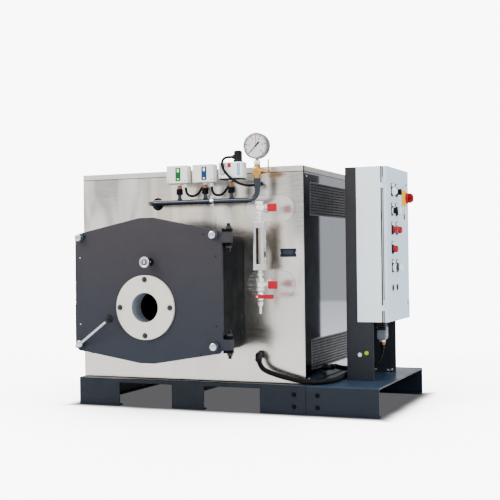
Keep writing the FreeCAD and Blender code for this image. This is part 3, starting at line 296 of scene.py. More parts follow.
# painted shade: near-black for recesses, gaps and hollows where shade falls
PAINTED_SHADE = finish("painted_shade_black", (0.006, 0.006, 0.007), 0.8, change=0.3)
DARK_STEEL = finish("black_oxide_steel", (0.05, 0.05, 0.055), 0.38, metal=0.9, patch=120,
                    change=0.2)
GRILLE = finish("pressed_steel_sheet", (0.10, 0.105, 0.12), 0.36, metal=0.8, patch=40,
                change=0.15, specular=0.2)
COVER_EDGE_SHADE = finish("cover_edge_painted_shade", (0.10, 0.10, 0.10), 0.7, change=0.2, specular=0.2)
PALE_BLUE_LABEL = finish("pale_blue_label", (0.25, 0.38, 0.52), 0.36, change=0.05)
PLATE_FIELD = finish("plate_field", (0.012, 0.020, 0.035), 0.34, metal=0.2, change=0.1)
GREY_HOOD = finish("die_cast_grey", (0.13, 0.155, 0.185), 0.42, grain=900, relief=0.03,
                   change=0.08, specular=0.3)
GLASS = clear_glass("clear_glass", (0.97, 0.98, 0.98))


# ---------------------------------------------------------------- solids

def settled(solid):
    bmesh.ops.recalc_face_normals(solid, faces=solid.faces)
    return solid


def rounded(solid, edge, steps=2):
    """Round every edge that turns by more than the facets of a curve do."""
    if edge > 0:
        sharp = [e for e in solid.edges
                 if len(e.link_faces) == 2 and e.calc_face_angle(0) > radians(40)]
        bmesh.ops.bevel(solid, geom=sharp, offset=edge, segments=steps, profile=0.5,
                        affect="EDGES", clamp_overlap=True)
    return solid


def block(low, high, edge=0.0, steps=2):
    """A cuboid between two corners, with rounded edges."""
    low = Vector(low)
    high = Vector(high)
    solid = bmesh.new()
    bmesh.ops.create_cube(solid, size=1)
    size = high - low
    place = Matrix.Translation((low + high) / 2) @ Matrix.Diagonal((*size, 1))
    bmesh.ops.transform(solid, matrix=place, verts=solid.verts)
    return rounded(settled(solid), edge, steps)


def pointing(start, along):
    """The placement that takes the origin to start and +Z to the direction given."""
    turn = Vector(along).normalized().to_track_quat("Z", "Y").to_matrix().to_4x4()
    return Matrix.Translation(Vector(start)) @ turn


def turned(start, along, profile, sides=32, closed=False):
    """A profile of (distance, radius) pairs turned about an axis.

    Its two ends are flat discs, unless closed joins the last pair to the first."""
    if not closed:
        first, last = profile[0], profile[-1]
        profile = [*([(first[0], 0)] if first[1] > 0 else []), *profile,
                   *([(last[0], 0)] if last[1] > 0 else [])]
    solid = bmesh.new()
    rings = []
    for distance, radius in profile:
        if radius <= 0:
            rings.append([solid.verts.new((0, 0, distance))] * sides)
            continue
        angles = [2 * pi * step / sides for step in range(sides)]
        rings.append([solid.verts.new((radius * cos(angle), radius * sin(angle), distance))
                      for angle in angles])
    pairs = list(zip(rings, rings[1:]))
    if closed:
        pairs.append((rings[-1], rings[0]))
    for first, second in pairs:
        for step in range(sides):
            after = (step + 1) % sides
            corners = dict.fromkeys((first[step], first[after], second[after], second[step]))
            solid.faces.new(tuple(corners))
    bmesh.ops.transform(solid, matrix=pointing(start, along), verts=solid.verts)
    return settled(solid)


def rod(start, end, radius, edge=0.0, sides=28):
    """A round bar between two points, with chamfered ends."""
    start = Vector(start)
    end = Vector(end)
    long = (end - start).length
    profile = [(0, radius - edge), (edge, radius), (long - edge, radius), (long, radius - edge)]
    if edge <= 0:
        profile = [(0, radius), (long, radius)]
    return turned(start, end - start, profile, sides)


def ring(start, along, outer, inner, long, edge=0.0, sides=32):
    """A washer or a sleeve with an open bore."""
    profile = [(0, inner), (0, outer - edge), (edge, outer), (long - edge, outer),
               (long, outer - edge), (long, inner)]
    if edge <= 0:
        profile = [(0, inner), (0, outer), (long, outer), (long, inner)]
    return turned(start, along, profile, sides, closed=True)


def ball(centre, radius, sides=28):
    """A round ball."""
    half = sides // 2
    profile = []
    for step in range(half + 1):
        angle = pi * step / half
        profile.append((-radius * cos(angle), radius * sin(angle) if 0 < step < half else 0))
    return turned(centre, Z, profile, sides)


def hexagon(start, along, radius, tall, turn=0.0, edge=None):
    """A hexagonal nut or head of the given corner radius, its far corners chamfered."""
    edge = radius * 0.12 if edge is None else edge
    solid = bmesh.new()
    rings = []
    for distance, reach in ((0, radius), (tall - edge, radius), (tall, radius - edge * 1.3)):
        corners = []
        for side in range(6):
            angle = turn + pi / 3 * side
            corners.append(solid.verts.new((reach * cos(angle), reach * sin(angle), distance)))
        rings.append(corners)
    for first, second in zip(rings, rings[1:]):
        for side in range(6):
            after = (side + 1) % 6
            solid.faces.new((first[side], first[after], second[after], second[side]))
    solid.faces.new(rings[0])
    solid.faces.new(rings[-1])
    bmesh.ops.transform(solid, matrix=pointing(start, along), verts=solid.verts)
    return settled(solid)


def prism(outline, axis, low, high, edge=0.0, steps=2):
    """A flat outline drawn in the two other axes and carried along X, Y or Z."""
    solid = bmesh.new()
    ends = []
    for level in (low, high):
        corners = []
        for first, second in outline:
            place = {"X": (level, first, second), "Y": (first, level, second),
                     "Z": (first, second, level)}[axis]
            corners.append(solid.verts.new(place))
        ends.append(corners)
        solid.faces.new(corners)
    count = len(outline)
    for corner in range(count):
        after = (corner + 1) % count
        solid.faces.new((ends[0][corner], ends[0][after], ends[1][after], ends[1][corner]))
    return rounded(settled(solid), edge, steps)


def round_outline(middle, wide, tall, radius, steps=6):
    """A rectangle with rounded corners as a list of points."""
    points = []
    for corner, (across, up) in enumerate(((1, 1), (-1, 1), (-1, -1), (1, -1))):
        centre = (middle[0] + across * (wide / 2 - radius), middle[1] + up * (tall / 2 - radius))
        for step in range(steps + 1):
            angle = pi / 2 * (corner + step / steps)
            points.append((centre[0] + radius * cos(angle), centre[1] + radius * sin(angle)))
    return points


def swept(path, radii, sides=16):
    """A round tube along a path, with a radius for each point and closed ends."""
    solid = bmesh.new()
    path = [Vector(point) for point in path]
    last = len(path) - 1
    heading = (path[1] - path[0]).normalized()
    across = heading.orthogonal().normalized()
    rings = []
    for number, point in enumerate(path):
        ahead = (path[min(number + 1, last)] - path[max(number - 1, 0)]).normalized()
        across = (across - ahead * across.dot(ahead)).normalized()
        upward = ahead.cross(across)
        corners = []
        for side in range(sides):
            angle = 2 * pi * side / sides
            reach = across * cos(angle) + upward * sin(angle)
            corners.append(solid.verts.new(point + reach * radii[number]))
        rings.append(corners)
    for first, second in zip(rings, rings[1:]):
        for side in range(sides):
            after = (side + 1) % sides
            solid.faces.new((first[side], first[after], second[after], second[side]))
    solid.faces.new(rings[0])
    solid.faces.new(rings[-1])
    return settled(solid)


def threaded(start, end, radius, pitch=1.5, depth=0.8, sides=18):
    """A rod with thread-like ridges all along it."""
    start = Vector(start)
    end = Vector(end)
    long = (end - start).length
    turns = max(2, round(long / pitch))
    profile = []
    for number in range(turns):
        profile.append((long * number / turns, radius - depth))
        profile.append((long * (number + 0.5) / turns, radius))
    profile.append((long, radius - depth))
    return turned(start, end - start, profile, sides)


def domed(start, along, radius, tall, sides=28):
    """A low round cap, such as a rivet or a pan head."""
    steps = 5
    angles = [pi / 2 * step / steps for step in range(steps)]
    profile = [(tall * sin(angle), radius * cos(angle)) for angle in angles]
    return turned(start, along, [*profile, (tall, 0)], sides)


class Piece:
    """One visible piece: solids gathered in one mesh, each with a finish of its own.

    Solids are drawn in millimetres, and done() brings the piece to metres."""

    def __init__(self, name, body, slot):
        self.name = name
        self.body = body
        self.slot = slot
        self.mesh = bmesh.new()
        self.looks = []

    def add(self, look, *solids):
        if look not in self.looks:
            self.looks.append(look)
        index = self.looks.index(look)
        for solid in solids:
            for face in solid.faces:
                face.material_index = index
                face.smooth = True
            carrier = bpy.data.meshes.new("carrier")
            solid.to_mesh(carrier)
            solid.free()
            self.mesh.from_mesh(carrier)
            bpy.data.meshes.remove(carrier)
        return self

    def done(self, *replaced):
        data = bpy.data.meshes.new(self.name)
        bmesh.ops.scale(self.mesh, vec=(MM, MM, MM), verts=self.mesh.verts)
        self.mesh.to_mesh(data)
        self.mesh.free()
        for look in self.looks:
            data.materials.append(look)
        data.set_sharp_from_angle(angle=radians(38))
        thing = bpy.data.objects.new(self.name, data)
        bpy.context.scene.collection.objects.link(thing)
        even = thing.modifiers.new("even_normals", "WEIGHTED_NORMAL")
        even.keep_sharp = True
        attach(thing, self.body)
        if replaced:
            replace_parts(thing, *replaced)
        return thing


def dress(node, look, edge=0.8, steps=2):
    """Give a carried-over part its finish, and round its edges by edge millimetres."""
    thing = frame["nodes"][node]
    thing.data.materials.clear()
    thing.data.materials.append(look)
    if edge > 0:
        weld = thing.modifiers.new("weld", "WELD")
        weld.merge_threshold = 0.01 * MM
        bevel = thing.modifiers.new("round_edges", "BEVEL")
        bevel.width = edge * MM
        bevel.segments = steps
        bevel.limit_method = "ANGLE"
        bevel.angle_limit = radians(40)
        bevel.use_clamp_overlap = True
        even = thing.modifiers.new("even_normals", "WEIGHTED_NORMAL")
        even.keep_sharp = True
    return thing


class Span:
    """A carried-over part's box in millimetres: its low and high corners, middle and size."""

    def __init__(self, node):
        self.low, self.high = (Vector(corner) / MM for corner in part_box(node))
        self.mid = (self.low + self.high) / 2
        self.size = self.high - self.low


# ---------------------------------------------------------------- studio

def area_light(name, place, target, size, power, colour):
    """A lamp that is a bright panel, aimed at a point."""
    data = bpy.data.lights.new(name, "AREA")
    data.shape = "RECTANGLE"
    data.size, data.size_y = size
    data.energy = power
    data.color = colour
    lamp = bpy.data.objects.new(name, data)
    aim = (Vector(target) - Vector(place)).to_track_quat("-Z", "Y").to_matrix().to_4x4()
    lamp.matrix_world = Matrix.Translation(place) @ aim
    bpy.context.scene.collection.objects.link(lamp)


ROOM_LIGHT = 1.45
DARK_SIDE_LIGHT = 0.62
DARK_SIDE = (0.55, 0.83, 0.0)
BACKDROP = 9.0
SHADE_REACH = 95 * MM
SHADE_INSIDE = 30 * MM
SHADE_ROUNDING = 20 * MM
SHADE_UNEVEN = 20 * MM
SHADE_DEPTH = 0.985
SHADE_COLOUR = (0.125, 0.125, 0.13, 1)


def make_world():
    """White to the camera; around the boiler, a bright room with one darker side."""
    world = bpy.data.worlds.new("studio")
    bpy.context.scene.world = world
    world.use_nodes = True
    nodes = world.node_tree.nodes
    links = world.node_tree.links
    background = nodes["Background"]
    background.inputs["Color"].default_value = (1, 1, 1, 1)
    place = nodes.new("ShaderNodeTexCoord")
    toward = nodes.new("ShaderNodeVectorMath")
    toward.operation = "DOT_PRODUCT"
    toward.inputs[1].default_value = DARK_SIDE
    links.new(place.outputs["Generated"], toward.inputs[0])
    room = nodes.new("ShaderNodeMapRange")
    room.interpolation_type = "SMOOTHSTEP"
    room.inputs["From Min"].default_value = 0.45
    room.inputs["From Max"].default_value = 0.85
    room.inputs["To Min"].default_value = ROOM_LIGHT
    room.inputs["To Max"].default_value = DARK_SIDE_LIGHT
    links.new(toward.outputs["Value"], room.inputs["Value"])
    light_path = nodes.new("ShaderNodeLightPath")
    strength = nodes.new("ShaderNodeMapRange")
    strength.inputs["To Max"].default_value = BACKDROP
    links.new(light_path.outputs["Is Camera Ray"], strength.inputs["Value"])
    links.new(room.outputs["Result"], strength.inputs["To Min"])
    links.new(strength.outputs["Result"], background.inputs["Strength"])


def soft_shade():
    """A dark film that fades out around a footprint, for the floor close under the skid."""
    material = bpy.data.materials.new("contact_shade")
    material.use_nodes = True
    nodes = material.node_tree.nodes
    links = material.node_tree.links
    nodes.clear()

    def math(operation, *values):
        node = nodes.new("ShaderNodeMath")
        node.operation = operation
        for socket, value in zip(node.inputs, values):
            if isinstance(value, (int, float)):
                socket.default_value = value
            else:
                links.new(value, socket)
        return node.outputs["Value"]

    place = nodes.new("ShaderNodeTexCoord")
    parts = nodes.new("ShaderNodeSeparateXYZ")
    links.new(place.outputs["Object"], parts.inputs["Vector"])
    rail = Span("skid_front_rail")
    deck = Span("extension_deck")
    skid_back = Span("skid_rear_rail").high.y
    away = []
    for x_low, x_high, y_low, y_high in (
            (rail.low.x, rail.high.x, rail.low.y, skid_back),
            (deck.low.x, deck.high.x, deck.low.y, deck.high.y)):
        past = []
        for axis, low, high in (("X", x_low * MM, x_high * MM), ("Y", y_low * MM, y_high * MM)):
            off_middle = math("ABSOLUTE", math("SUBTRACT", parts.outputs[axis], (low + high) / 2))
            past.append(math("SUBTRACT", off_middle, (high - low) / 2))
        away.append(math("MAXIMUM", *past))
    nearest = math("SMOOTH_MIN", *away, SHADE_ROUNDING)
    grain = nodes.new("ShaderNodeTexNoise")
    grain.inputs["Scale"].default_value = 6.0
    links.new(place.outputs["Object"], grain.inputs["Vector"])
    nearest = math("ADD", nearest, math("MULTIPLY", grain.outputs["Fac"], SHADE_UNEVEN))
    fade = nodes.new("ShaderNodeMapRange")
    fade.interpolation_type = "SMOOTHERSTEP"
    fade.inputs["From Min"].default_value = -SHADE_INSIDE
    fade.inputs["From Max"].default_value = SHADE_REACH
    fade.inputs["To Min"].default_value = SHADE_DEPTH
    fade.inputs["To Max"].default_value = 0.0
    links.new(nearest, fade.inputs["Value"])
    clear = nodes.new("ShaderNodeBsdfTransparent")
    dark = nodes.new("ShaderNodeEmission")
    dark.inputs["Color"].default_value = SHADE_COLOUR
    mixed = nodes.new("ShaderNodeMixShader")
    links.new(fade.outputs["Result"], mixed.inputs["Fac"])
    links.new(clear.outputs["BSDF"], mixed.inputs[1])
    links.new(dark.outputs["Emission"], mixed.inputs[2])
    out = nodes.new("ShaderNodeOutputMaterial")
    links.new(mixed.outputs["Shader"], out.inputs["Surface"])
    return material


def make_floor():
    """A floor that catches shadows, and the contact shade just above it."""
    pale = finish("pale_floor", (0.80, 0.80, 0.80), 0.75, patch=1.5, change=0.01, grain=90,
                  relief=0.05)
    discs = []
    for name, look, radius, sides, down in (("floor", pale, 9, 96, 0.5 * MM),
                                            ("contact_shade", soft_shade(), 1.6, 64, 0.3 * MM)):
        disc = bmesh.new()
        bmesh.ops.create_circle(disc, cap_ends=True, radius=radius, segments=sides)
        data = bpy.data.meshes.new(name)
        disc.to_mesh(data)
        disc.free()
        data.materials.append(look)
        thing = bpy.data.objects.new(name, data)
        thing.location = (0, 0, -down)
        bpy.context.scene.collection.objects.link(thing)
        discs.append(thing)
    discs[0].is_shadow_catcher = True


def make_studio():
    """The room light, three lamps and the floor."""
    make_world()
    area_light("key", (-2.6, -3.6, 3.4), (0, 0, 0.5), (2.2, 1.8), 210, (1, 0.97, 0.93))
    area_light("side", (4.2, -1.4, 2.6), (0.5, 0, 0.5), (2.2, 2.0), 120, (0.93, 0.97, 1))
    area_light("top", (0.2, 0.4, 4.2), (0, 0, 0), (3.0, 3.0), 110, (1, 1, 1))
    make_floor()


# ---------------------------------------------------------------- carried-over parts

def dress_frame():
    """Looks for the CAD's own plain pieces."""
    for node in ("skid_front_rail", "skid_rear_rail", "skid_members"):
        dress(node, SKID_PAINT, 2.4, 3)
    dress("extension_deck", DECK_PAINT_LIT_TOP, 2.4, 3)
    dress("casing_front", STEEL, 0.8)
    for node in ("casing_left", "casing_rear", "casing_lid"):
        dress(node, STEEL_BACK, 0.8)
    dress("casing_right", STEEL_SHADED_SIDE, 0.8)
    dress("casing_floor", GALVANISED, 0.5)
    dress("furnace_body", BLACK_PAINT, 2.5, 3)
    dress("furnace_chamber", BLACK_PAINT, 1.0)
    dress("burner_door", DOOR_PAINT, 1.6, 3)
    dress("door_lining", LINING, 3.0)
    dress("burner_flange", FLANGE_PAINT, 1.0)
    dress("manifold_pipe", PIPE_PAINT, 0)
    dress("cover_plates", COVER, 0.4)
    dress("post_web", POST_PAINT, 1.0)
    dress("post_legs", POST_PAINT, 1.2)
    dress("cabinet_box", CABINET_PAINT, 1.2, 3)
    dress("cabinet_door", CABINET_SHADED_SIDE_PAINT, 2.2, 3)
    dress("mounting_plate", GALVANISED, 0.8)


# ---------------------------------------------------------------- cords

SKID_CORNER = Vector((-0.645, -0.388, 0))
FRONT_CONDUIT = (
    (0.793, -0.005, 0.196), (0.800, -0.005, 0.172), (0.829, -0.004, 0.157),
    (0.880, -0.002, 0.142), (0.932, 0.004, 0.130), (0.977, 0.016, 0.1214),
    (1.016, 0.036, 0.1204), (1.042, 0.076, 0.1204), (1.052, 0.126, 0.1204),
    (1.053, 0.180, 0.1204), (1.050, 0.232, 0.1204), (1.046, 0.279, 0.1214),
    (1.047, 0.318, 0.1244), (1.049, 0.352, 0.128), (1.049, 0.385, 0.128),
)
SIDE_CONDUIT = (
    (0.987, 0.300, 0.150), (0.987, 0.325, 0.150), (0.989, 0.352, 0.145),
    (0.995, 0.385, 0.137), (1.008, 0.421, 0.131), (1.030, 0.455, 0.128),
    (1.049, 0.488, 0.128), (1.049, 0.516, 0.128),
)
SWITCH_LEAD = (
    (0.515, -0.050, 0.863), (0.515, -0.050, 0.848), (0.523, -0.044, 0.832),
    (0.540, -0.032, 0.829), (0.554, -0.017, 0.841), (0.559, -0.004, 0.859),
    (0.559, 0.010, 0.867), (0.559, 0.027, 0.867),
)
SWITCH_STEP = Vector((0.110, 0, 0))
PLUG_LEAD = (
    (0.710, -0.050, 0.972), (0.697, -0.050, 0.972), (0.686, -0.065, 0.969),
    (0.683, -0.086, 0.953), (0.689, -0.093, 0.927), (0.709, -0.093, 0.900),
    (0.735, -0.088, 0.877), (0.762, -0.070, 0.863), (0.783, -0.043, 0.861),
    (0.791, -0.013, 0.868), (0.793, 0.009, 0.872), (0.793, 0.027, 0.872),
)
CONNECTOR_LEAD = (
    (1.185, 0.330, 0.238), (1.185, 0.330, 0.210), (1.177, 0.326, 0.182),
    (1.159, 0.318, 0.159), (1.137, 0.308, 0.146), (1.112, 0.300, 0.140),
    (1.090, 0.300, 0.140),
)
CONDUIT_RADIUS = 10
CONDUIT_RIB = (4, 0.9)
LEAD_RADIUS = 5
SWITCH_LEAD_RIB = (2.6, 0.6)


def smooth_line(route):
    """The points of the NURBS spline whose control points are the route's."""
    data = bpy.data.curves.new("route", "CURVE")
    data.dimensions = "3D"
    data.resolution_u = 14
    spline = data.splines.new("NURBS")
    spline.points.add(len(route) - 1)
    for control, point in zip(spline.points, route):
        control.co = (*(Vector(point) + SKID_CORNER), 1)
    spline.order_u = 3
    spline.use_endpoint_u = True
    thing = bpy.data.objects.new("route", data)
    mesh = bpy.data.meshes.new_from_object(thing)
    line = [vertex.co.copy() for vertex in mesh.vertices]
    bpy.data.objects.remove(thing)
    bpy.data.meshes.remove(mesh)
    return line


def length_of(line):
    """The length of a line of points."""
    return sum((after - before).length for before, after in zip(line, line[1:]))


def even_steps(line, step):
    """Points along the line at equal distances of about the step."""
    total = length_of(line)
    count = max(2, round(total / step))
    places = [line[0]]
    walked = 0.0
    for before, after in zip(line, line[1:]):
        run = (after - before).length
        while len(places) < count and walked + run >= total * len(places) / count:
            share = (total * len(places) / count - walked) / run
            places.append(before.lerp(after, share))
        walked += run
    places.append(line[-1])
    return places


def cord(name, route, radius, rib=None):
    """A smooth cable, or a corrugated hose when it has a rib's length and depth."""
    line = smooth_line(route)
    drawn = [point / MM for point in line]
    if rib:
        rib_long, depth = rib
        path = even_steps(drawn, rib_long / 4)
        wave = (radius, radius, radius - depth, radius - depth)
        radii = [wave[number % 4] for number in range(len(path))]
    else:
        path = even_steps(drawn, radius)
        radii = [radius] * len(path)
    piece = Piece(name, "boiler", "black_plastic")
    piece.add(RUBBER, swept(path, radii, 20))
    thing = piece.done()
    return thing


def make_cords():
    """The two conduits and the four leads."""
    switch_leads = [[Vector(point) + SWITCH_STEP * number for point in SWITCH_LEAD]
                    for number in range(2)]
    for name, route, radius, stiffness, rib, node in (
        ("deck_conduit", FRONT_CONDUIT, CONDUIT_RADIUS, "stiff", CONDUIT_RIB, "front_conduit"),
        ("short_conduit", SIDE_CONDUIT, CONDUIT_RADIUS, "stiff", CONDUIT_RIB, "side_conduit"),
        ("switch_hose_1", switch_leads[0], LEAD_RADIUS, "stiff", SWITCH_LEAD_RIB, "switch_lead_1"),
        ("switch_hose_2", switch_leads[1], LEAD_RADIUS, "stiff", SWITCH_LEAD_RIB, "switch_lead_2"),
        ("plug_cable", PLUG_LEAD, LEAD_RADIUS, "medium", None, "plug_lead"),
        ("connector_cable", CONNECTOR_LEAD, LEAD_RADIUS, "medium", None, "connector_lead"),
    ):
        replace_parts(cord(name, route, radius, rib), node)


def on_skid(x, y, z):
    """A place given in millimetres from the skid's front left corner."""
    return SKID_CORNER / MM + Vector((x, y, z))


def joint_place(name):
    """Where a joint's axis passes, in millimetres."""
    return next(Vector(joint["pos_m"]) for joint in frame["joints"] if joint["name"] == name) / MM


def bent(wall, corner, mouth, bend, steps=8):
    """A path from wall to mouth with a round bend near the corner."""
    to_wall = (wall - corner).normalized()
    to_mouth = (mouth - corner).normalized()
    start = corner + to_wall * bend
    end = corner + to_mouth * bend
    path = [wall]
    for step in range(steps + 1):
        share = step / steps
        path.append(start.lerp(corner, share).lerp(corner.lerp(end, share), share))
    path.append(mouth)
    return path


CONDUIT_ELBOWS = (
    ((786, 37, 220), (786, -5, 220), (793, -5, 196)),
    ((963, 276, 150), (987, 276, 150), (987, 300, 150)),
    ((1073, 409, 128), (1049, 409, 128), (1049, 385, 128)),
    ((1073, 540, 128), (1049, 540, 128), (1049, 516, 128)),
)
SWITCH_GLAND = (515, -50, 877)
SWITCH_LEAD_END = (559, 37, 867)
PLUG_LEAD_END = (793, 37, 872)
WEB_GLAND = (1078, 300, 140)


def make_conduit_glands():
    """Angled conduit glands on the casing, the side sheet and the post, and the cable glands."""
    piece = Piece("conduit_glands", "boiler", "black_plastic")
    for wall, corner, mouth in CONDUIT_ELBOWS:
        wall, corner, mouth = on_skid(*wall), on_skid(*corner), on_skid(*mouth)
        path = bent(wall, corner, mouth, 15)
        inward = (corner - wall).normalized()
        onward = (mouth - corner).normalized()
        piece.add(BLACK_PLASTIC, swept(path, [11] * len(path), 24))
        piece.add(BLACK_PLASTIC, hexagon(wall, inward, 16, 6))
        piece.add(BLACK_PLASTIC, ring(wall + inward * 6, inward, 14, 10, 4, 1))
        piece.add(BLACK_PLASTIC, hexagon(mouth - onward * 13, onward, 14, 9))
        piece.add(RUBBER, ring(mouth - onward * 4, onward, 12.4, 9, 4, 1.2))
    piece.done("conduit_elbows")
    glands = Piece("lead_glands", "boiler", "black_plastic")
    for number in (0, 1):
        shift = SWITCH_STEP / MM * number
        top = on_skid(*SWITCH_GLAND) + shift
        glands.add(NICKEL, hexagon(top - Z * 7, Z, 8.6, 7))
        glands.add(NICKEL, turned(top - Z * 14, Z, [(0, 6.2), (1.5, 7.6), (7, 8)]))
        wall_gland(glands, on_skid(*SWITCH_LEAD_END) + shift)
    wall_gland(glands, on_skid(*PLUG_LEAD_END))
    glands.add(RUBBER, turned(on_skid(*WEB_GLAND), X, [(0, 9), (4, 9), (6, 7), (12, 5.5)]))
    glands.done("cable_glands")


def wall_gland(piece, wall):
    """A short black gland on the casing's front sheet."""
    piece.add(BLACK_PLASTIC, hexagon(wall, -Y, 9.4, 4))
    piece.add(BLACK_PLASTIC, turned(wall - Y * 4, -Y, [(0, 8), (3.5, 7.4), (6, 6)]))


# ---------------------------------------------------------------- skid and casing

def bolt(piece, place, along, radius, tall, look, turn=0.2):
    """A hexagon head on a washer, standing out along the direction given."""
    thick = 1.6
    piece.add(look, ring(place, along, radius * 1.3, radius * 0.4, thick, 0.4, 24))
    piece.add(look, hexagon(place + along * thick, along, radius, tall - thick, turn))


def screw(piece, place, along, radius=3.2, tall=1.8, look=None):
    """A pan-head screw with a small disc of painted shade for its recess."""
    piece.add(look or ZINC, domed(place, along, radius, tall, 16))
    piece.add(PAINTED_SHADE, domed(place + along * (tall * 0.86), along, radius * 0.36, 0.35, 10))


def make_skid_details():
    """Bolts that hold the deck, the beams and the post, and the post's foot angles."""
    piece = Piece("skid_bolts", "boiler", "skid_paint")
    rail = Span("skid_front_rail")
    seam = (rail.high.x + Span("extension_deck").low.x) / 2
    for across in (-46, 46):
        for up in (30, 75):
            bolt(piece, Vector((seam + across, rail.low.y, up)), -Y, 7, 7, BLACK_PAINT)
    for across in (-40, 40):
        for y in (rail.low.y + 30, Span("skid_rear_rail").high.y - 30):
            piece.add(BLACK_PAINT, domed(Vector((rail.mid.x + across, y, rail.high.z)), Z, 6, 2.4))
    post = Span("post_legs")
    foot = post.low.z
    sides = ((post.low.y, 1), (post.high.y, -1))
    for side, inward in sides:
        for along_x in (22, 74):
            place = Vector((post.low.x + along_x, side + inward * 24, foot + 5))
            bolt(piece, place, Z, 7, 6, ZINC)
    piece.done()
    angles = Piece("post_foot_angles", "boiler", "post_paint")
    for side, inward in sides:
        low_y, high_y = sorted((side + inward * 5, side + inward * 42))
        angles.add(POST_PAINT, block((Span("post_web").high.x, low_y, foot),
                                     (post.high.x - 6, high_y, foot + 5), 1))
    angles.done()


TRIM_THICK = 0.8
TRIM_WIDE = 9
COVER_TALL = 102


def make_casing_details():
    """The casing's foot seal, painted shade in the gap under its lid, its corner trims, its
    screws, and a thin outline of painted shade round the cover plates.
    """
    front = Span("casing_front")
    lid = Span("casing_lid")
    right = Span("casing_right").high.x
    rear = Span("casing_rear")
    left, near, far = front.low.x, front.low.y, rear.high.y
    seams = Piece("casing_seals", "boiler", "black_plastic")
    proud = 0.4
    seams.add(RUBBER, block((left - proud, near - proud, front.low.z - 0.1),
                            (front.high.x + proud, far + proud, front.low.z + 2.6)))
    seams.done()
    # painted shade: a near-black band in the gap under the lid
    gap = Piece("lid_shadow_gap", "boiler", "black_plastic")
    lip = 0.35
    for low_x, low_y, high_x, high_y in (
            (left, near, front.high.x, near), (right, near, right, far),
            (left, near, left, far), (left, far, front.high.x, far)):
        gap.add(PAINTED_SHADE, block((low_x - lip, low_y - lip, lid.low.z - 2.6),
                                   (high_x + lip, high_y + lip, lid.low.z - 0.2)))
    gap.done()
    trim = Piece("casing_corner_trims", "boiler", "black_plastic")
    for x, sign in ((left, -1), (front.high.x, 1)):
        low_x, high_x = sorted((x, x + sign * TRIM_THICK))
        trim.add(RUBBER, block((low_x, near + 2, front.low.z),
                               (high_x, near + 2 + TRIM_WIDE, lid.high.z - 2), 0.2, 1))
    trim.done()
    screws = Piece("casing_screws", "boiler", "zinc")
    for x, along in ((right, X), (Span("casing_left").low.x, -X)):
        for y in (near + 42, (near + far) / 2, far - 30):
            for z in (front.low.z + 16, front.high.z - 18):
                screw(screws, Vector((x, y, z)), along)
    for x in (rear.low.x + 30, rear.mid.x, rear.high.x - 30):
        for z in (rear.low.z + 16, rear.high.z - 18):
            screw(screws, Vector((x, far, z)), Y)
    for x in (lid.low.x + 60, 0, lid.high.x - 60):
        for y, along in ((lid.low.y, -Y), (lid.high.y, Y)):
            screw(screws, Vector((x, y, lid.mid.z)), along, 2.4)
    cover = Span("cover_plates")
    # painted shade: a dark outline just wider than each cover plate, for the shade round its edge
    edges = Piece("cover_plate_shade_outlines", "boiler", "black_plastic")
    for middle in (cover.low.z + COVER_TALL / 2, cover.high.z - COVER_TALL / 2):
        outline = round_outline((cover.mid.x, middle), cover.size.x + 1.6, COVER_TALL + 1.6,
                                COVER_TALL / 2 + 0.7, 16)
        edges.add(COVER_EDGE_SHADE, prism(outline, "Y", cover.high.y - 0.7, cover.high.y))
        for x in (cover.low.x + 10, cover.high.x - 10):
            screw(screws, Vector((x, cover.low.y, middle)), -Y, 2.8)
    edges.done()
    screws.done()


SLOT_COLUMN = 18.0
SLOT_ROW = 11.0
SLOT_LONG = 15.4
SLOT_TALL = 7.2
UPPER_GRILLE = 127
LOWER_GRILLE = 116


def slotted_sheet(x, outward, low, high, thick):
    """A flush sheet with rows of round-ended slots punched through it.

    Low and high are its corners in (y, z)."""
    solid = bmesh.new()
    (y_low, z_low), (y_high, z_high) = low, high
    columns = int((y_high - y_low - 8) / SLOT_COLUMN)
    rows = int((z_high - z_low - 4) / SLOT_ROW)
    side_edge = (y_high - y_low - columns * SLOT_COLUMN) / 2
    end_edge = (z_high - z_low - rows * SLOT_ROW) / 2
    faces_x = (x, x - outward * thick)
    arc = 3

    def slot_corners(middle_y, middle_z):
        radius = SLOT_TALL / 2
        half = SLOT_LONG / 2 - radius
        angles = [pi * step / arc for step in range(arc + 1)]
        return [(middle_y + side * half + radius * cos(start + angle),
                 middle_z + radius * sin(start + angle))
                for start, side in ((-pi / 2, 1), (pi / 2, -1)) for angle in angles]

    def corners(face_x, points):
        return [solid.verts.new((face_x, *point)) for point in points]

    def ring_of_faces(first, second):
        for corner in range(len(first)):
            after = (corner + 1) % len(first)
            solid.faces.new((first[corner], first[after], second[after], second[corner]))

    for row in range(rows):
        for column in range(columns):
            y = y_low + side_edge + SLOT_COLUMN * (column + 0.5)
            z = z_low + end_edge + SLOT_ROW * (row + 0.5)
            low_y, high_y = y - SLOT_COLUMN / 2, y + SLOT_COLUMN / 2
            low_z, high_z = z - SLOT_ROW / 2, z + SLOT_ROW / 2
            both = []
            for face_x in faces_x:
                hole = corners(face_x, slot_corners(y, z))
                rim = corners(face_x, ((high_y, low_z), (high_y, high_z),
                                       (low_y, high_z), (low_y, low_z)))
                right_end, left_end = hole[:arc + 1], hole[arc + 1:]
                solid.faces.new((rim[0], rim[1], *reversed(right_end)))
                solid.faces.new((rim[2], rim[3], *reversed(left_end)))
                solid.faces.new((rim[1], rim[2], left_end[0], right_end[-1]))
                solid.faces.new((rim[3], rim[0], right_end[0], left_end[-1]))
                both.append(hole)
            ring_of_faces(*both)
    inner_low = (y_low + side_edge, z_low + end_edge)
    inner_high = (y_high - side_edge, z_high - end_edge)
    for face_x in faces_x:
        ring_of_faces(*(corners(face_x, (first, (second[0], first[1]), second,
                                         (first[0], second[1])))
                        for first, second in ((low, high), (inner_low, inner_high))))
    bmesh.ops.remove_doubles(solid, verts=solid.verts, dist=0.01)
    return settled(solid)


SHADE_SHEET_AWAY = 5


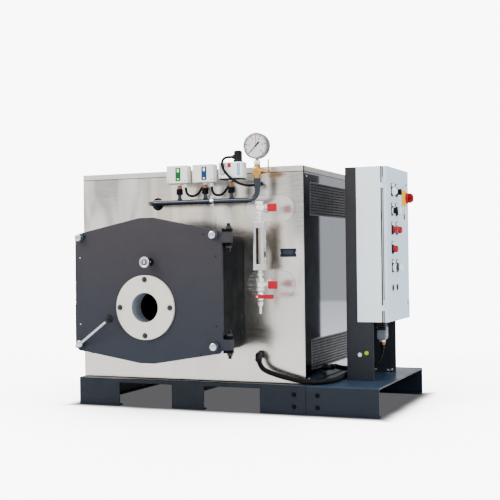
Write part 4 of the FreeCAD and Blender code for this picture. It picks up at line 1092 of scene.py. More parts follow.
def make_grilles():
    """Slotted sheets over a dark sheet of painted shade, two on each side of the casing."""
    for node, outward in (("grilles_left", -1), ("grilles_right", 1)):
        span = Span(node)
        face = span.high.x if outward > 0 else span.low.x
        thick = span.size.x
        piece = Piece(node.replace("grilles", "slotted_grilles"), "boiler", "grille")
        for low, high in ((span.low.z, span.low.z + LOWER_GRILLE),
                          (span.high.z - UPPER_GRILLE, span.high.z)):
            piece.add(GRILLE, slotted_sheet(face, outward, (span.low.y, low),
                                            (span.high.y, high), thick))
            # painted shade: a near-black sheet behind the slots for the dark inside of the casing
            back = face - outward * (thick + SHADE_SHEET_AWAY)
            near, far = sorted((back, back - outward))
            piece.add(PAINTED_SHADE, block((near, span.low.y, low), (far, span.high.y, high)))
        piece.done(node)


# ---------------------------------------------------------------- burner door

BOLT_CIRCLE = 105.5
HINGE_LUG = 27
STACK_RADIUS = 16


def make_door_details():
    """The burner door's bolts, corner nuts, small screws, edge tabs and throat."""
    door = Span("burner_door")
    flange = Span("burner_flange")
    face = door.low.y
    fasteners = Piece("door_bolts", "burner_door", "zinc")
    for side in range(4):
        angle = pi / 2 * side
        place = Vector((flange.mid.x + BOLT_CIRCLE * cos(angle), flange.low.y,
                        flange.mid.z + BOLT_CIRCLE * sin(angle)))
        fasteners.add(DARK_STEEL, ring(place, -Y, 10.5, 4, 1.6, 0.4))
        fasteners.add(DARK_STEEL, hexagon(place - Y * 1.6, -Y, 8.6, 6.4, 0.3))
        fasteners.add(DARK_STEEL, rod(place - Y * 8, place - Y * 11, 4.2, 0.8))
    caps = Span("door_fasteners")
    left, right = caps.low.x + STACK_RADIUS, caps.high.x - STACK_RADIUS
    top, bottom = caps.high.z - STACK_RADIUS, caps.low.z + STACK_RADIUS
    for x, z in ((left, top), (right, top), (right, bottom)):
        corner_stack(fasteners, Vector((x, face, z)))
    fasteners.done("door_fasteners")
    trims = Piece("door_small_screws", "burner_door", "black_paint")
    width = door.high.x - HINGE_LUG - door.low.x
    base = Span("clamp_lever").low.z
    for share, z, look in (
            (0.075, top + 4, BLACK_PAINT), (0.88, top + 4, BLACK_PAINT),
            (0.035, top - 78, ZINC), (0.035, bottom + 74, ZINC),
            (0.96, top - 78, BLACK_PAINT), (0.96, bottom + 74, BLACK_PAINT),
            (0.12, base - 18, BLACK_PAINT), (0.86, base - 14, BLACK_PAINT)):
        screw(trims, Vector((door.low.x + share * width, face, z)), -Y, 3, 1.6, look)
    trims.done()
    tabs = Piece("door_edge_tabs", "boiler", "black_paint")
    for z in (top + 22, base - 20):
        middle = Vector((door.low.x + 0.125 * width, door.high.y + 4, z))
        tabs.add(BLACK_PAINT, block(middle - Vector((9, 0, 5)), middle + Vector((9, 8, 5)), 1.5))
    tabs.done()
    throat = Piece("burner_throat_lining", "burner_door", "flange_zinc")
    front = Vector((flange.mid.x, flange.low.y + 0.2, flange.mid.z))
    back = Vector((flange.mid.x, flange.high.y, flange.mid.z))
    throat.add(BORE_PAINT, ring(front, Y, 55.95, 55.2, 9.4, 0.2, 72))
    throat.add(BORE_PAINT, ring(back, Y, 71, 56, Span("door_lining").high.y - back.y - 1, 0, 64))
    throat.done()


def corner_stack(piece, place):
    """A bright cap nut in front of a wide dark spacer."""
    piece.add(SPACER_PAINT, turned(place, -Y, [(0, 15), (1.5, 16), (11, 16), (14, 13.5)], 36))
    piece.add(ZINC, hexagon(place - Y * 14, -Y, 13.8, 6, 0.3))
    piece.add(ZINC, turned(place - Y * 19, -Y, [(0, 13), (2, 14), (5.4, 13.4), (7, 10.5)], 36))


def make_sight_glass():
    """The sight port of the burner door with its lens."""
    span = Span("sight_glass")
    x, z = span.mid.x, span.mid.z
    face = Vector((x, span.high.y, z))
    front = Vector((x, span.low.y, z))
    piece = Piece("sight_port", "burner_door", "zinc")
    piece.add(BLACK_PAINT, turned(face, -Y, [
        (0, 15), (3, 15), (5, 12.5), (28, 12.5), (30, 15), (36, 15)]))
    piece.add(ZINC, turned(front, Y, [
        (2, 12.5), (0.6, 14), (0, 16.5), (0.8, 20), (2.2, 21), (11, 21), (12.5, 19.5),
        (14, 15)], 40))
    piece.add(SIGHT_LENS, domed(front + Y * 2.1, -Y, 12, 1.6, 36))
    piece.add(ZINC, domed(front + Y * 0.8, -Y, 6, 0.7, 28))
    brass = Vector((x + 13, span.high.y - 22, z))
    piece.add(BRASS, rod(brass - X * 2, brass + X * 2, 3, 0.6, 16))
    piece.done("sight_glass")


def make_clamp_lever():
    """The hand lever on the lower left of the burner door."""
    span = Span("clamp_lever")
    pivot = joint_place("clamp_lever_turn")
    door_face = Span("burner_door").low.y
    hub_back = door_face - 0.3
    hub = Vector((pivot.x, hub_back, pivot.z))
    piece = Piece("hand_lever", "clamp_lever", "zinc")
    piece.add(SPACER_PAINT, turned(hub, -Y, [(0, 15), (9, 15), (11, 13.5)]))
    piece.add(ZINC, turned(hub - Y * 11, -Y, [
        (0, 12), (1.4, 13.4), (10, 13.4), (12.4, 11), (13, 9)]))
    knob = Vector((span.high.x - 15, span.low.y + 15, span.high.z - 15))
    start = Vector((pivot.x, door_face - 12, pivot.z))
    reach = knob - start
    flat = Vector((reach.x, 0, reach.z)).normalized()
    piece.add(ZINC, rod(start - flat * 23, start, 5.5, 1.5))
    path = [start, start.lerp(knob, 0.5), knob - reach.normalized() * 8]
    piece.add(ZINC, swept(path, [5.5, 5.5, 5.2], 24))
    neck = knob - reach.normalized() * 20
    piece.add(BLACK_PLASTIC, turned(neck, reach, [(0, 6.5), (5, 7.5), (9, 9.5)]))
    piece.add(BLACK_PLASTIC, ball(knob, 14.9, 36))
    piece.done("clamp_lever")


HINGE_BRACKET = 64
HINGE_EAR = 12


def make_door_hinges():
    """The burner door's two hinges and their brackets."""
    span = Span("door_hinges")
    pin = joint_place("burner_door_swing")
    piece = Piece("door_hinge_brackets", "boiler", "black_paint")
    over = 20
    for low in (span.low.z + over, span.high.z - over - HINGE_BRACKET):
        high = low + HINGE_BRACKET
        for ear in (low, high - HINGE_EAR):
            piece.add(BLACK_PAINT, block((span.low.x, pin.y - 12, ear),
                                         (pin.x + 12, pin.y + 12, ear + HINGE_EAR),
                                         2.2, 3))
            piece.add(BLACK_PAINT, block((span.low.x, pin.y + 12 - 0.5, ear),
                                         (span.low.x + 12, pin.y + 23, ear + HINGE_EAR),
                                         1))
        piece.add(BLACK_PAINT, block((span.low.x, pin.y + 22, low),
                                     (span.low.x + 12, pin.y + 36, high), 1.5))
        centre = Vector((pin.x, pin.y, 0))
        piece.add(BLACK_PAINT, rod(centre + Z * low, centre + Z * high, 7, 0, 28))
        piece.add(DARK_STEEL, threaded(centre + Z * (low - over), centre + Z * low, 7))
        piece.add(DARK_STEEL, threaded(centre + Z * high, centre + Z * (high + over), 7))
        piece.add(DARK_STEEL, hexagon(centre + Z * high, Z, 12, 9))
        piece.add(DARK_STEEL, hexagon(centre + Z * low, -Z, 12, 9))
    piece.done("door_hinges")
    body = Span("furnace_body")
    rivets = Piece("body_rivets", "boiler", "black_paint")
    side = body.high.x
    for number in range(6):
        z = body.low.z + 60 + number * 62
        rivets.add(DARK_STEEL, domed(Vector((side, body.high.y - 26, z)), X, 3.2,
                                     1.6, 14))
    for x in (body.low.x + 120, body.high.x - 120):
        rivets.add(DARK_STEEL, domed(Vector((x, body.high.y - 26, body.high.z)), Z, 3.2,
                                     1.6, 14))
    rivets.done()


# ---------------------------------------------------------------- pressure manifold

PIPE_Y = -50
PIPE_Z = 807
CLAMP_X = 627
SLEEVE_TALL = 34
RISER_X = 488
RISER_STEP = 109
NUT_Z = 836


def make_manifold_details():
    """The pipe's clamp, sleeve and wall seal, and the unions of its three risers."""
    pipe = Span("manifold_pipe")
    axis = on_skid(0, PIPE_Y, PIPE_Z)
    piece = Piece("pipe_clamp_and_sleeve", "boiler", "zinc")
    clamp = on_skid(CLAMP_X, PIPE_Y, PIPE_Z)
    piece.add(ZINC, ring(clamp - X * 7, X, 12.2, 10.1, 14, 0.6))
    for low, high in ((11, 19), (-20, -11)):
        piece.add(ZINC, block(clamp + Vector((-7, -3, low)), clamp + Vector((7, 3, high)), 0.8))
    for up in (15.5, -16):
        piece.add(ZINC, rod(clamp + Z * up - Y * 7, clamp + Z * up + Y * 7, 2.2, 0.4, 14))
    sleeve = Vector((pipe.high.x - 10, axis.y, pipe.high.z - 0.2 - SLEEVE_TALL))
    piece.add(PIPE_PAINT, ring(sleeve, Z, 12.6, 9.6, SLEEVE_TALL, 1.2))
    stub = Vector((pipe.low.x + 10, Span("casing_front").low.y, axis.z))
    piece.add(RUBBER, ring(stub, -Y, 22, 10.4, 2.4, 0.8, 40))
    piece.done()
    risers = Piece("riser_unions", "boiler", "black_plastic")
    for number in range(3):
        base = on_skid(RISER_X + RISER_STEP * number, PIPE_Y, PIPE_Z + 8)
        nut = Vector((base.x, base.y, on_skid(0, 0, NUT_Z).z))
        top = Span("pressure_limiter" if number == 2 else "pressure_switches").low.z
        copper_top = top - 5
        copper_tall = copper_top - nut.z - 22
        risers.add(PIPE_PAINT, rod(base, nut, 7, 0.4))
        risers.add(PIPE_PAINT, ring(base + Z, Z, 9.5, 6.5, 6, 1.6))
        risers.add(BLACK_PAINT, hexagon(nut, Z, 13, 22, 0.2))
        risers.add(COPPER, turned(nut + Z * 22, Z, [
            (0, 9), (2, 9.6), (copper_tall - 1, 8), (copper_tall, 0)]))
        risers.add(NICKEL, hexagon(Vector((base.x, base.y, copper_top)), Z, 10.5, 5, 0.5))
    risers.done("switch_risers")


def flat_patch(piece, look, middle, wide, tall, radius, face, proud=0.5, sunk=0.3):
    """A thin round-cornered plate on a face that looks forward."""
    outline = round_outline(middle, wide, tall, radius)
    piece.add(look, prism(outline, "Y", face - proud, face + sunk))


SWITCH_WIDE = 88


def make_pressure_switches():
    """Two boxes with a bare coloured label and two windows each."""
    span = Span("pressure_switches")
    piece = Piece("pressure_switch_boxes", "boiler", "light_plastic")
    for low_x, label in ((span.low.x, GREEN_LABEL), (span.high.x - SWITCH_WIDE, BLUE_LABEL)):
        low = Vector((low_x, span.low.y, span.low.z))
        high = Vector((low_x + SWITCH_WIDE, span.high.y, span.high.z))
        cover_back = low.y + 33
        piece.add(LIGHT_PLASTIC, block((low.x, low.y, low.z + 3), (high.x, cover_back, high.z),
                                       2.2, 3))
        piece.add(SHADE_PLASTIC, block((low.x + 1.5, cover_back - 1, low.z),
                                       (high.x - 1.5, high.y, high.z - 1.5), 1.5))
        piece.add(SHADE_PLASTIC, block((low.x + 3, low.y + 3, low.z),
                                       (high.x - 3, cover_back, low.z + 4), 0.8))
        middle = low.x + 0.56 * SWITCH_WIDE
        flat_patch(piece, label, (middle, (low.z + high.z) / 2 + 1), 21, 51, 1.6, low.y)
        for z, tall, radius in ((high.z - 19, 13, 1.2), (low.z + 18, 5, 1)):
            flat_patch(piece, WHITE_PLASTIC, (middle, z), 8, tall, radius, low.y, 0.7, 0.2)
        for x in (low.x + 7, high.x - 9):
            screw(piece, Vector((x, low.y, low.z + 12)), -Y, 2.2, 1.2, DARK_STEEL)
    piece.done("pressure_switches")


PLUG_X = 722
PLUG_LEAD_Z = 972


def make_pressure_limiter():
    """A white case with a scale window and bare patches, and a black plug on its top."""
    span = Span("pressure_limiter")
    low, high, y_mid = span.low, span.high, span.mid.y
    case_top = low.z + 66
    piece = Piece("limiter_with_plug", "boiler", "light_plastic")
    piece.add(WHITE_PLASTIC, block((low.x, low.y, low.z + 5), (high.x, high.y, case_top), 4, 4))
    piece.add(BLACK_PLASTIC, block((low.x + 3, low.y + 3, low.z),
                                   (high.x - 3, high.y - 3, low.z + 6), 1.2))
    scale = (low.x + 17, low.z + 38)
    for look, middle, wide, tall, radius, proud in (
            (INK, scale, 17, 42, 3, 0.5), (POLISHED, scale, 13, 38, 2, 0.8),
            (RED_PLASTIC, (low.x + 45, case_top - 12), 14, 17, 1, 0.5),
            (PALE_BLUE_LABEL, (high.x - 13, low.z + 37), 13, 46, 1, 0.5)):
        flat_patch(piece, look, middle, wide, tall, radius, low.y, proud)
    for x in (low.x + 7, high.x - 7):
        screw(piece, Vector((x, low.y, low.z + 10)), -Y, 2.2, 1.2, DARK_STEEL)
    gland = on_skid(PLUG_X, 0, PLUG_LEAD_Z)
    gland.y = y_mid
    plug_x, plug_high = gland.x, gland.x + 26
    piece.add(BLACK_PLASTIC, block((plug_x, y_mid - 13, case_top + 5),
                                   (plug_high, y_mid + 13, high.z - 0.2), 4, 4))
    piece.add(BLACK_PLASTIC, block((plug_x - 0.8, y_mid - 15, case_top),
                                   (plug_high, y_mid + 15, case_top + 8), 1.5))
    # painted shade: a dark line in the joint under the plug
    piece.add(PAINTED_SHADE, block((plug_x + 2, y_mid - 13.6, case_top + 8),
                                 (plug_high - 2, y_mid + 13.6, case_top + 9)))
    screw_top = Vector((plug_x + 13, y_mid, high.z))
    piece.add(ZINC, rod(screw_top - Z, screw_top, 3, 0.3, 16))
    piece.add(BLACK_PLASTIC, hexagon(gland + X, -X, 9.5, 8))
    piece.add(BLACK_PLASTIC, turned(gland - X * 6.5, -X, [(0, 8.4), (3, 7.4), (5.5, 5.6)]))
    piece.done("pressure_limiter")


GAUGE_START = radians(225)
GAUGE_SWEEP = radians(270)
GAUGE_NUMBERS = 6


def dial_number(text, place, tall):
    """A flat numeral standing upright on the dial."""
    data = bpy.data.curves.new("numeral", "FONT")
    data.body = text
    data.size = tall
    data.align_x = "CENTER"
    data.align_y = "CENTER"
    data.extrude = 0.1
    thing = bpy.data.objects.new("numeral", data)
    mesh = bpy.data.meshes.new_from_object(thing)
    solid = bmesh.new()
    solid.from_mesh(mesh)
    bpy.data.objects.remove(thing)
    bpy.data.meshes.remove(mesh)
    turn = Matrix.Rotation(pi / 2, 4, "X")
    bmesh.ops.transform(solid, matrix=Matrix.Translation(place) @ turn, verts=solid.verts)
    return solid


def dial_bar(centre, angle, start, end, wide, end_wide, proud):
    """A flat bar on the dial that points outward at an angle."""
    out = Vector((cos(angle), 0, sin(angle)))
    side = Vector((-sin(angle), 0, cos(angle)))
    corners = []
    for reach, half in ((start, wide / 2), (end, end_wide / 2)):
        corners.append(centre + out * reach - side * half)
        corners.append(centre + out * reach + side * half)
    order = (corners[0], corners[2], corners[3], corners[1])
    return prism([(p.x, p.z) for p in order], "Y", centre.y - proud, centre.y)


def make_pressure_gauge():
    """The dial gauge with its numbers and its pointer."""
    span = Span("pressure_gauge")
    radius = span.size.x / 2
    centre_z = span.high.z - radius
    front = Vector((span.mid.x, span.low.y, centre_z))
    dial = front + Y * 5
    piece = Piece("dial_gauge", "boiler", "gauge_case")
    piece.add(CASE_STEEL, turned(front, Y, [
        (5, radius - 5.5), (1, radius - 4.5), (0, radius - 3.5), (0.4, radius - 0.8), (2, radius),
        (8, radius), (8.4, radius - 1.6), (10, radius - 1.6), (10.4, radius - 0.4),
        (30, radius - 0.4), (34, radius - 3)], 72))
    piece.add(DIAL, turned(dial - Y * 0.3, Y, [(0, radius - 6), (0.25, radius - 6)], 72))
    dial_face = dial - Y * 0.3
    steps = 50
    for step in range(steps + 1):
        angle = GAUGE_START - GAUGE_SWEEP * step / steps
        main = step % 10 == 0
        half = step % 5 == 0
        inner = radius - (15 if main else 13 if half else 11)
        wide = (3.0 if main else 2.0 if half else 1.1)
        piece.add(INK, dial_bar(dial_face, angle, inner, radius - 7.5, wide, wide, 0.15))
    for number in range(GAUGE_NUMBERS):
        angle = GAUGE_START - GAUGE_SWEEP * number / (GAUGE_NUMBERS - 1)
        reach = radius - 22
        place = dial_face + Vector((cos(angle) * reach, -0.1, sin(angle) * reach))
        piece.add(INK, dial_number(str(number * 2), place, 11))
    piece.add(RED_INK, dial_bar(dial_face - Y * 0.6, pi / 2, 6, radius - 8,
                                2.4, 2.4, 0.4))
    needle = dial_face - Y * 1.6
    piece.add(INK, dial_bar(needle, GAUGE_START, -19, 0, 8, 4, 0.5))
    piece.add(INK, dial_bar(needle, GAUGE_START, 0, radius - 11, 4, 2, 0.5))
    piece.add(DARK_STEEL, turned(dial_face, -Y, [(0, 4), (2.4, 4), (2.8, 3.4)], 24))
    stem_top = Vector((span.mid.x, span.mid.y, centre_z - radius + 4))
    piece.add(DARK_STEEL, rod(stem_top, Vector((span.mid.x, span.mid.y, span.low.z)), 6.5,
                              0.5))
    piece.done("pressure_gauge")
    pane = Piece("gauge_pane", "boiler", "gauge_case")
    pane.add(GLASS, turned(front + Y * 0.9, Y, [(0, radius - 4.7), (0.8, radius - 4.9)], 72))
    pane.done()


def make_gauge_cock():
    """The brass cock below the dial gauge, and its lever."""
    pipe = Span("manifold_pipe")
    gauge = Span("pressure_gauge")
    span = Span("gauge_cock")
    axis = Vector((gauge.mid.x, gauge.mid.y, 0))
    middle = on_skid(0, 0, 913).z
    centre = axis + Z * middle
    piece = Piece("brass_gauge_cock", "boiler", "brass")
    piece.add(BRASS, hexagon(axis + Z * pipe.high.z, Z, 13, 11, 0.3))
    piece.add(BRASS, turned(centre + Y * 15, -Y, [
        (0, 17), (1.5, 18.5), (24, 18.5), (26, 17), (27, 15.5), (27, 12), (28.4, 11.4)], 44))
    slot = centre - Y * 13.3
    piece.add(COPPER, block(slot + Vector((-7, -0.8, -1.2)), slot + Vector((7, 0.2, 1.2)),
                            0.3))
    piece.add(COPPER, block(slot + Vector((-1.2, -0.8, -7)), slot + Vector((1.2, 0.2, 1)),
                            0.3))
    neck = centre + Z * 15
    top = gauge.low.z
    piece.add(BRASS, rod(neck, axis + Z * (top - 2), 8, 0.4))
    piece.add(BRASS, hexagon(axis + Z * (top - 30), Z, 12, 12, 0.3))
    piece.add(NICKEL, turned(axis + Z * (top - 18), Z, [
        (0, 10.5), (2, 12.2), (11, 12.6), (15, 10), (18, 7.6)]))
    stem = centre + X * 17
    piece.add(COPPER, hexagon(stem, X, 11, 10, 0.2))
    piece.add(BRASS, hexagon(stem + X * 10, X, 9, 7, 0.5))
    piece.add(BRASS, rod(stem + X * 17, Vector((span.high.x, centre.y, centre.z)), 5,
                         0.5))
    piece.done("gauge_cock")
    lever_span = Span("cock_lever")
    lever = Piece("cock_hand_lever", "gauge_cock_lever", "brass")
    outline = round_outline((lever_span.mid.y, lever_span.mid.z), lever_span.size.y,
                            lever_span.size.z, 4)
    lever.add(BRASS, prism(outline, "X", lever_span.low.x, lever_span.low.x + 3, 0.5))
    lever.add(DARK_STEEL, hexagon(Vector((lever_span.low.x + 2.8, lever_span.mid.y, middle)),
                                  X, 4.2, 2.2))
    lever.done("cock_lever")


# ---------------------------------------------------------------- water level gauge

VALVE_HALF = 24


def level_valve(piece, centre, wall_y):
    """One cock of the level gauge: a waisted column with union nuts, and an arm to the wall."""
    arm = Vector((centre.x, wall_y, centre.z))
    piece.add(NICKEL, rod(arm, centre, 11, 0.5, 32))
    piece.add(NICKEL, hexagon(arm, -Y, 19, 9, 0.2))
    piece.add(NICKEL, turned(arm - Y * 9, -Y, [(0, 15), (6, 14), (10, 11)]))
    nut = 13
    gap = 1
    for up in (-1, 1):
        end = centre + Z * up * VALVE_HALF
        piece.add(NICKEL, hexagon(end, -Z * up, 15.6, nut, 0.3))
        piece.add(DARK_STEEL, rod(end - Z * up * (nut - gap), end - Z * up * (nut + gap),
                                  11.5))
    piece.add(NICKEL, turned(centre - Z * (VALVE_HALF - nut - gap), Z, [
        (0, 12.5), (2, 14.2), (6, 12.6), (10, 12.2), (14, 12.6), (18, 14.2), (20, 12.5)], 36))
    piece.add(NICKEL, turned(centre - Y * 11, -Y, [(0, 8), (4, 7.4), (5, 6)], 24))
    stem = centre + X * 11
    piece.add(NICKEL, hexagon(stem, X, 10, 8, 0.4))
    piece.add(ZINC, turned(stem + X * 8, X, [(0, 8), (1.5, 8.6), (6, 8.2), (6, 6), (11, 6)], 28))


def glass_neck(piece, axis, low, high):
    """The thin neck and packing nut between a cock and the glass holder."""
    piece.add(NICKEL, rod(axis + Z * low, axis + Z * high, 8, 0.5))
    middle = (low + high) / 2
    piece.add(NICKEL, hexagon(axis + Z * (middle - 4), Z, 12.5, 8, 0.3))
    for z in (middle - 4.6, middle + 3.8):
        piece.add(DARK_STEEL, rod(axis + Z * z, axis + Z * (z + 0.8), 10))


def make_level_gauge():
    """Two cocks with red handles, the glass holder between them and the drain cock below."""
    glass = Span("level_glass_holder")
    wall_y = Span("cover_plates").low.y
    handles = {side: Span("level_handle_" + side) for side in ("upper", "lower")}
    axis = Vector((glass.mid.x, glass.mid.y, 0))
    piece = Piece("upper_level_valve", "boiler", "nickel")
    centre = axis + Z * handles["upper"].mid.z
    level_valve(piece, centre, wall_y)
    glass_neck(piece, axis, Span("level_valve_upper").low.z, centre.z - VALVE_HALF)
    piece.done("level_valve_upper")
    piece = Piece("lower_level_valve", "boiler", "nickel")
    lower = Span("level_valve_lower")
    centre = axis + Z * handles["lower"].mid.z
    level_valve(piece, centre, wall_y)
    glass_neck(piece, axis, centre.z + VALVE_HALF, lower.high.z)
    cock = axis + Z * Span("drain_lever").mid.z
    piece.add(DARK_STEEL, rod(cock + Z * 17, centre - Z * VALVE_HALF, 9))
    piece.add(NICKEL, turned(cock - Z * 17, Z, [
        (0, 7), (4, 10.5), (11, 12.8), (22, 12.8), (29, 10.5), (34, 9)], 32))
    piece.add(NICKEL, turned(cock - Y * 10, -Y, [(0, 8.6), (5, 8), (6, 6), (15, 6)], 24))
    tip = cock - Z * 20
    piece.add(DARK_STEEL, rod(tip + Z * 4, tip, 6))
    piece.add(NICKEL, hexagon(tip, -Z, 11.5, 8, 0.2))
    spout = tip.z - 8 - lower.low.z
    piece.add(NICKEL, turned(tip - Z * 8, -Z, [
        (0, 9.6), (7, 9), (10, 5.4), (spout, 4.4), (spout, 3), (spout - 4, 0)], 28))
    piece.done("level_valve_lower")
    make_glass_holder(glass)
    for side, span in handles.items():
        handle = Piece(side + "_level_handle", side + "_level_cock", "red_plastic")
        handle.add(RED_PLASTIC, block(span.low + X * 2, span.high, 3.6, 4))
        for line in range(4):
            x = span.low.x + 9 + 7 * line
            handle.add(RED_PLASTIC, block((x, span.low.y + 0.2, span.low.z + 5),
                                          (x + 2.4, span.high.y - 0.2, span.high.z - 5), 0.8))
        hub = Vector((span.low.x + 0.2, span.mid.y, span.mid.z))
        handle.add(ZINC, ring(hub, X, 6.5, 2, 3, 0.5, 24))
        handle.done("level_handle_" + side)
    make_drain_lever(cock.x)


def make_drain_lever(pivot_x):
    """A flat red lever that narrows behind its grip, on a hexagon nut."""
    span = Span("drain_lever")
    lever = Piece("drain_hand_lever", "drain_cock", "red_plastic")
    half = span.size.z / 2
    outline = [(x, span.mid.z + half * share) for x, share in (
        (span.low.x, 0.8), (span.low.x + 4, 0.98), (span.low.x + 26, 0.86),
        (span.high.x - 8, 1.0), (span.high.x, 0.86))]
    outline += [(x, 2 * span.mid.z - z) for x, z in reversed(outline)]
    face = span.high.y
    lever.add(RED_PLASTIC, prism(outline, "Y", face - 7, face, 2.2, 3))
    lever.add(ZINC, hexagon(Vector((pivot_x, face - 6.8, span.mid.z)), -Y, 4.6, 2.8))
    lever.done("drain_lever")


def make_glass_holder(span):
    """A polished bar with a long window: painted shade at the left, a tan scale at the right."""
    piece = Piece("gauge_glass_holder", "boiler", "nickel")
    centre_x = span.mid.x - 2
    half_slot = 8.5
    window_low = span.low.z + 24
    window_high = span.high.z - 24
    front, back = span.low.y, span.high.y
    edge = 1.2
    piece.add(POLISHED, block((span.low.x + 2, front, span.low.z + 12),
                              (centre_x - half_slot, back, span.high.z - 12), edge))
    piece.add(POLISHED, block((centre_x + half_slot, front, span.low.z + 12),
                              (span.high.x - 4, back, span.high.z - 12), edge))
    for low, high in ((span.low.z, window_low), (window_high, span.high.z)):
        piece.add(POLISHED, block((span.low.x, front + 0.3, low),
                                  (span.high.x, back, high), 2, 3))
        for side in (-1, 1):
            bolt_x = span.mid.x + side * 17
            piece.add(ZINC, domed(Vector((bolt_x, front + 0.4, (low + high) / 2)), -Y,
                                  3, 0.4, 16))
    for number in range(4):
        z = window_low + (window_high - window_low) * (number + 0.5) / 4
        piece.add(ZINC, hexagon(Vector((span.high.x - 4.2, span.mid.y, z)), X, 4.6,
                                4))
    # painted shade: dark blocks inside the window, behind the glass
    piece.add(PAINTED_SHADE, block((centre_x - half_slot, front + 9, window_low - 1),
                                 (centre_x + half_slot, back, window_high + 1)))
    piece.add(PAINTED_SHADE, block((centre_x - half_slot - 0.5, front + 1, window_low),
                                 (centre_x - half_slot + 4, front + 10, window_high)))
    piece.add(TAN_SCALE, block((centre_x - 0.5, front + 7, window_low),
                               (centre_x + half_slot, front + 9.4, window_high)))
    piece.done("level_glass_holder")
    tube = Piece("gauge_glass_tube", "boiler", "nickel")
    tube.add(GLASS, block((centre_x - half_slot + 4.4, front + 2.5, window_low),
                          (centre_x + half_slot - 0.6, front + 6.5, window_high),
                          0.6))
    tube.done()


def make_nameplate():
    """The bare nameplate, notched at its sides."""
    span = Span("nameplate")
    notch = 4
    middle = span.mid.z
    low, high = span.low, span.high
    outline = [
        (low.x, low.z), (high.x, low.z), (high.x, middle - notch), (high.x - notch, middle),
        (high.x, middle + notch), (high.x, high.z), (low.x, high.z), (low.x, middle + notch),
        (low.x + notch, middle), (low.x, middle - notch),
    ]
    piece = Piece("blank_nameplate", "boiler", "plate_blue")
    piece.add(NAMEPLATE, prism(outline, "Y", low.y, high.y, 0.25, 1))
    panel = round_outline((span.mid.x - 1, middle + 2), span.size.x * 0.62,
                          span.size.z * 0.5, 1)
    piece.add(PLATE_FIELD, prism(panel, "Y", low.y - 0.15, low.y + 0.3))
    piece.done("nameplate")


# ---------------------------------------------------------------- cabinet and its controls

SEAM_PROUD = 0.45
BLANK_PLUGS_Z = 466
DOOR_LOCKS = ((518, 878, 8), (460, 866, 5), (528, 396, 8))


def make_cabinet_details():
    """The seam between cabinet and door, a rubber strip with painted shade in the gap, and the
    door's plugs and locks.
    """
    box = Span("cabinet_box")
    door = Span("cabinet_door")
    seal = Piece("door_seal", "boiler", "black_plastic")
    seam = door.low.x
    low_y, high_y = Span("mounting_plate").low.y - 28, box.high.y
    # a rubber edge strip, which also widens the dark gap line, and a strip of painted shade in the
    # gap itself
    for look, near, far, outer, inner, ends in (
            (RUBBER, 4.2, 0, 1.5, 8, 1.5), (PAINTED_SHADE, 6, 0.5, -SEAM_PROUD, 1, 0)):
        for low, high in (
                ((low_y + outer, box.low.z + outer), (high_y - outer, box.low.z + inner)),
                ((low_y + outer, box.high.z - inner), (high_y - outer, box.high.z - outer)),
                ((low_y + outer, box.low.z + ends), (low_y + inner, box.high.z - ends)),
                ((high_y - inner, box.low.z + ends), (high_y - outer, box.high.z - ends))):
            seal.add(look, block((seam - near, *low), (seam - far, *high)))
    seal.done()
    plugs = Piece("door_plugs_and_locks", "cabinet_door", "black_plastic")
    for y in PLATE_Y:
        centre = on_skid(0, y, BLANK_PLUGS_Z)
        centre.x = door.high.x
        plugs.add(BLACK_PLASTIC, turned(centre, X, [(-0.4, 12.6), (1.2, 12.6), (2.4, 11),
                                                    (2.8, 0)], 36))
    for y, z, radius in DOOR_LOCKS:
        centre = on_skid(0, y, z)
        centre.x = door.high.x
        plugs.add(ZINC, turned(centre, X, [(-0.4, radius), (1.6, radius), (2.6, radius - 1.5),
                                           (2.6, 2.4), (1.2, 2.2)], 32))
    plugs.done()


def make_post_details():
    """The two round fittings low on the front of the post."""
    leg = Span("post_legs")
    front = on_skid(0, 214, 0).y
    piece = Piece("post_bolts", "boiler", "zinc")
    for x, z, look in ((1125, 209, ZINC), (1152, 216, EARTH)):
        place = on_skid(x, 0, z)
        place.y = front
        piece.add(look, turned(place, -Y, [(0, 8), (1.2, 8)], 28))
        piece.add(look, hexagon(place - Y, -Y, 5.4, 4, 0.3))
    for x in (leg.low.x + 14, leg.high.x - 14):
        for y in (leg.low.y + 14, leg.high.y - 14):
            piece.add(ZINC, hexagon(Vector((x, y, leg.low.z + 6)), Z, 7, 5, 0.4))
    piece.done()


PLATE_Y = (291, 358)
PLATE_WIDE = 30
PLATE_TALL = 50
PLATE_THICK = 3
HEAD_UP = 19


def legend_plate(piece, face, y, base):
    """One label holder: a plate with a blank insert above the button."""
    place = on_skid(0, y, base)
    half = PLATE_WIDE / 2
    low = Vector((face, place.y - half, place.z))
    high = Vector((face + PLATE_THICK, place.y + half, place.z + PLATE_TALL))
    piece.add(BLACK_PLASTIC, block(low, high, 1.6, 3))
    piece.add(WHITE_PLASTIC, block((high.x - 0.2, low.y + 2.2, high.z - 13),
                                   (high.x + 0.5, high.y - 2.2, high.z - 2.4), 0.4))
    return Vector((high.x, place.y, place.z + HEAD_UP))


def knob(piece, centre, collar, look, out=20):
    """A turning knob: a collar on the plate, a drum and a raised grip bar with a line."""
    piece.add(collar, ring(centre, X, 14.5, 11, 4, 0.8, 40))
    piece.add(look, turned(centre + X, X, [(0, 12), (7, 12), (8.5, 11)], 40))
    side = Vector((0, 4.5, 12))
    low, high = centre + X * 9 - side, centre + X * out + side
    piece.add(look, block(low, high, 2.6, 3))
    line = centre + X * (out - 0.4)
    piece.add(WHITE_PLASTIC, block(line + Vector((0, -0.7, 2)),
                                   line + Vector((0.7, 0.7, 10))))


def push_button(piece, centre, collar, look, out=17):
    """A round button that stands in a metal or plastic collar."""
    piece.add(collar, ring(centre, X, 14.5, 11.2, 13, 1.2, 40))
    piece.add(look, turned(centre, X, [(0, 11), (out - 2, 11), (out - 0.6, 9.6), (out, 0)], 40))


